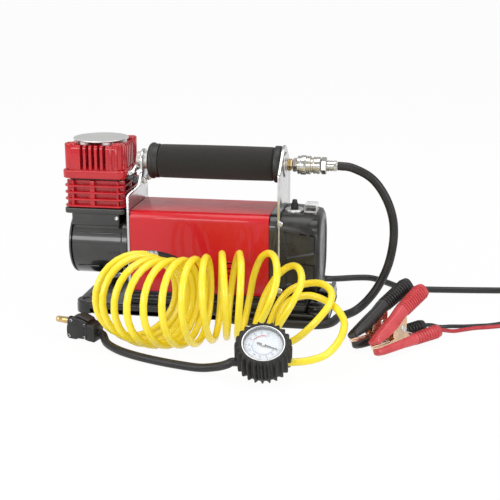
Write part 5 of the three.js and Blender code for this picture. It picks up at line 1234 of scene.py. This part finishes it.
# ---------------------------------------------------------------- battery clamps
# Each clamp is two folded copper plated jaws in dipped plastic sleeves, ribbed
# over the handles, on a steel pin with a torsion spring round it.
clamp_copper = Finish("clamp_copper", (0.92, 0.66, 0.46), 0.3, Metallic=1.0).weathered(
    (150, 5, 0.65), (0.94, 0.70, 0.50), (0.80, 0.48, 0.28), 0.2, 0.22, (0.4, 0.72)
).grained(320, 3, 0.00002, 0.2)
red_vinyl = Finish("red_vinyl", (0.56, 0.045, 0.055), 0.36, Coat_Weight=0.15, Coat_Roughness=0.2
                   ).weathered((70, 4, 0.6), (0.50, 0.035, 0.045), (0.62, 0.07, 0.08), 0.32, 0.16,
                               (0.35, 0.72)).grained(500, 3, 0.00003, 0.25)
black_vinyl = Finish("black_vinyl", (0.030, 0.030, 0.031), 0.42).weathered(
    (80, 4, 0.6), (0.010, 0.010, 0.010), (0.028, 0.028, 0.029), 0.34, 0.2, (0.4, 0.72)
).grained(900, 3, 0.00008, 0.5)


def dipped(stations, place):
    """A plastic sleeve through (x, z, lean, half width, half height, squareness) stations."""
    rings = []
    for x, z, lean, wide, tall, square in stations:
        lean = math.radians(lean)
        ring = []
        for c, s in ring_of(1, 32):
            y = wide * math.copysign(abs(c) ** square, c)
            up = tall * math.copysign(abs(s) ** square, s)
            ring.append((x - up * math.sin(lean), y, z + up * math.cos(lean)))
        rings.append(ring)
    return skinned(rings, place)


def ribbed(x, z, reach, lean, first, ribs, wide, tall, square):
    """Stations along a leaning handle, ribbed from its first share on, with a rounded end."""
    c, s = math.cos(math.radians(lean)), math.sin(math.radians(lean))
    out = []
    for i in range(4 * ribs + 1):
        t = i / (4 * ribs)
        lift = (-0.75, 0.55, 0.6, -0.7)[i % 4] if first <= t <= 0.97 else 0.2
        w, h = (size[0] + (size[1] - size[0]) * t + lift for size in (wide, tall))
        out.append((x + c * reach * t, z + s * reach * t, lean, w, h, square))
    for push, shrink in ((1.0, 1.0), (2.2, 0.97), (2.8, 0.9), (3.0, 0.78), (2.9, 0.5)):
        out.append((x + c * (reach + push), z + s * (reach + push), lean, wide[1] * shrink,
                    tall[1] * shrink, square))
    return out


def jaw(place, sides, apart, strip, width):
    """A folded jaw: two side plates and the strip that joins them."""
    plates = [slab(sides, 0.8, place @ at(0, side * apart + 0.4, 0) @ TO_FRONT, 0.15, 1)
              for side in (-1, 1)]
    return plates + [slab(strip, width, place @ at(0, width / 2, 0) @ TO_FRONT, 0.2, 1)]


def teeth(place, x0, x1, count, base, tip, half):
    """A strip of saw teeth across a jaw."""
    pitch, root = (x1 - x0) / count, base + (tip - base) * 0.2
    outline = [(x1, base), (x0, base)]
    for i in range(count):
        outline += [(x0 + pitch * i + 0.1, root), (x0 + pitch * (i + 0.5), tip)]
    return slab(outline + [(x1 - 0.1, root)], 2 * half, place @ at(0, half, 0) @ TO_FRONT)


PIN_X, PIN_Z, SPRING_RADIUS, SPRING_HALF, SPRING_TURNS = 38, 13, 3.4, 2.4, 4


def clamp(colour, place, grip, vinyl):
    """Builds one clamp to the length of its grip, and returns its pieces."""
    sleeve_slot, jaw_body = f"{colour}_plastic", f"{colour}_clamp_jaw"
    lower = piece(f"{colour}_clamp_lower", dipped([
        (0.6, 0.6, 0, 3.4, 2.0, 0.6), (1.2, 0.2, 0, 4.3, 3.0, 0.6), (4, -0.4, 0, 4.7, 3.7, 0.55),
        (10, -0.6, 0, 5.0, 4.2, 0.55), (24, -0.4, 0, 5.2, 4.5, 0.6), (38, 0, 0, 5.5, 5.0, 0.7),
        *ribbed(44, 0, grip - 44, 0, 0.22, 11, (5.5, 6.3), (5.2, 6.3), 0.8)], place),
        vinyl)
    jaw_lower = piece(f"{colour}_jaw_lower", merged(*jaw(
        place, [(0.6, 2.6), (1.2, 4.5), (17, 4.6), (24, 6.6), (33.5, 15.6), (36, 17.6), (38, 18),
                (40.2, 17.4), (43, 12), (45.5, 4.2), (44, 2.6)], 3.4,
        [(0.2, 3.2), (0.2, 4.6), (17.4, 4.7), (17.4, 3.6), (1, 3.2)], 7.8,
    ), teeth(place, 1.2, 15.6, 6, 4.5, 5.05, 3.4)), clamp_copper)
    pin = piece(f"{colour}_clamp_pin", spun([
        (-7.4, 0), (-7.4, 2.6), (-6.9, 3.1), (-6.6, 3.1), (-6.6, 2.2), (6.6, 2.2), (6.6, 3.1),
        (6.9, 3.1), (7.4, 2.6), (7.4, 0)], place @ at(PIN_X, 0, PIN_Z) @ TO_FRONT, 24),
        bright_steel)
    winding = arc(SPRING_RADIUS, -40, 360 * SPRING_TURNS - 40, 16 * SPRING_TURNS, PIN_X, PIN_Z)
    wire = [(50, -SPRING_HALF, 6.2)]
    wire += [(x, SPRING_HALF * (2 * i / (len(winding) - 1) - 1), z)
             for i, (x, z) in enumerate(winding)]
    wire.append((46, SPRING_HALF, 17))
    coil_path = [place @ p for p in millimetres(wire)]
    coil = tube_along("spring_wire", coil_path, 0.0011, bright_steel)
    bpy.context.view_layer.update()
    wound = bmesh.new()
    wound.from_mesh(coil.to_mesh())
    bpy.data.objects.remove(coil)
    spring = piece(f"{colour}_spring", wound, bright_steel, smooth=60)
    upper = piece(f"{colour}_clamp_upper", dipped([
        (0.4, 8.9, 18, 5.2, 2.0, 0.5), (1.2, 9.2, 18, 6.0, 2.9, 0.5), (4, 10.2, 18, 6.3, 3.8, 0.5),
        (14, 13.6, 20, 6.5, 5.2, 0.5), (28, 18.8, 22, 6.7, 6.6, 0.5), (38, 23.4, 22, 6.7, 6.5, 0.6),
        *ribbed(47, 28.8, grip - 47, 21, 0.08, 12, (6.9, 7.4), (6.3, 7.4), 0.7)], place),
        vinyl, jaw_body)
    jaw_upper = piece(f"{colour}_jaw_upper", merged(*jaw(
        place, [(22, 8.0), (23.5, 6.4), (30, 8.2), (37, 9.2), (41, 10.4), (46, 20), (48, 27),
                (40, 25), (26, 16)], 5.9,
        [(0.2, 6.5), (0.2, 5.3), (18, 5.3), (18, 6.6)], 9.6)), clamp_copper, jaw_body)
    return [lower, upper, jaw_lower, jaw_upper, pin, spring]


LEAN = turned_by(-27, "X")
RED_CLAMP = at(195.9, -135.7, 6.7) @ turned_by(49) @ turned_by(-1.3, "Y") @ LEAN
BLACK_CLAMP = at(174, -120, 7) @ turned_by(45) @ turned_by(-0.8, "Y") @ LEAN
for colour, pieces in (("red", clamp("red", RED_CLAMP, 84, red_vinyl)),
                       ("black", clamp("black", BLACK_CLAMP, 87, black_vinyl))):
    line = wire_lines[colour]
    line_length(line)


# ---------------------------------------------------------------- inside parts
# The running gear stays as the frame has it, under the cover and in the castings,
# each part with the finish of its own metal.
rolled_steel = Finish("rolled_steel", (0.42, 0.42, 0.43), 0.34, Metallic=1.0).mottled(
    70, 0.18).grained(260, 4, 0.00006, 0.5, 0.6)
gasket_board = Finish("gasket_board", (0.030, 0.029, 0.028), 0.7).mottled(160, 0.3).grained(
    700, 3, 0.0001, 0.5)
ferrite = Finish("ferrite", (0.055, 0.056, 0.060), 0.62).mottled(110, 0.2).grained(
    500, 4, 0.0001, 0.6, 0.6)
lamination = Finish("lamination", (0.30, 0.29, 0.29), 0.4, Metallic=0.9)
stack = lamination.noise(1, 2, 0.5, (1800, 4, 4))
lamination.toned(stack, (0.22, 0.215, 0.21), (0.40, 0.39, 0.38))
lamination.relief(stack, 0.0001, 0.7)
drawn_copper = Finish("drawn_copper", (0.70, 0.36, 0.20), 0.3, Metallic=1.0).mottled(
    130, 0.2).grained(400, 3, 0.00006, 0.5)
cast_alloy = Finish("cast_alloy", (0.56, 0.56, 0.57), 0.42, Metallic=1.0).mottled(
    90, 0.15).grained(380, 4, 0.0001, 0.6, 0.6)
fan_nylon = Finish("fan_nylon", (0.030, 0.030, 0.031), 0.5).mottled(120, 0.25).grained(
    900, 3, 0.00008, 0.5)
for finish, names in (
        (gasket_board, ["valve_plate"]), (cast_alloy, ["piston_and_rod"]),
        (rolled_steel, ["crank", "motor_can"]), (ferrite, ["magnet_front", "magnet_rear"]),
        (bright_steel, ["motor_shaft", "front_bearing", "rear_bearing"]),
        (lamination, ["armature"]), (drawn_copper, ["commutator"]),
        (fan_nylon, ["brush_gear", "cooling_fan"])):
    for name in names:
        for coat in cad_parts[name].material_slots:
            coat.material = finish.material
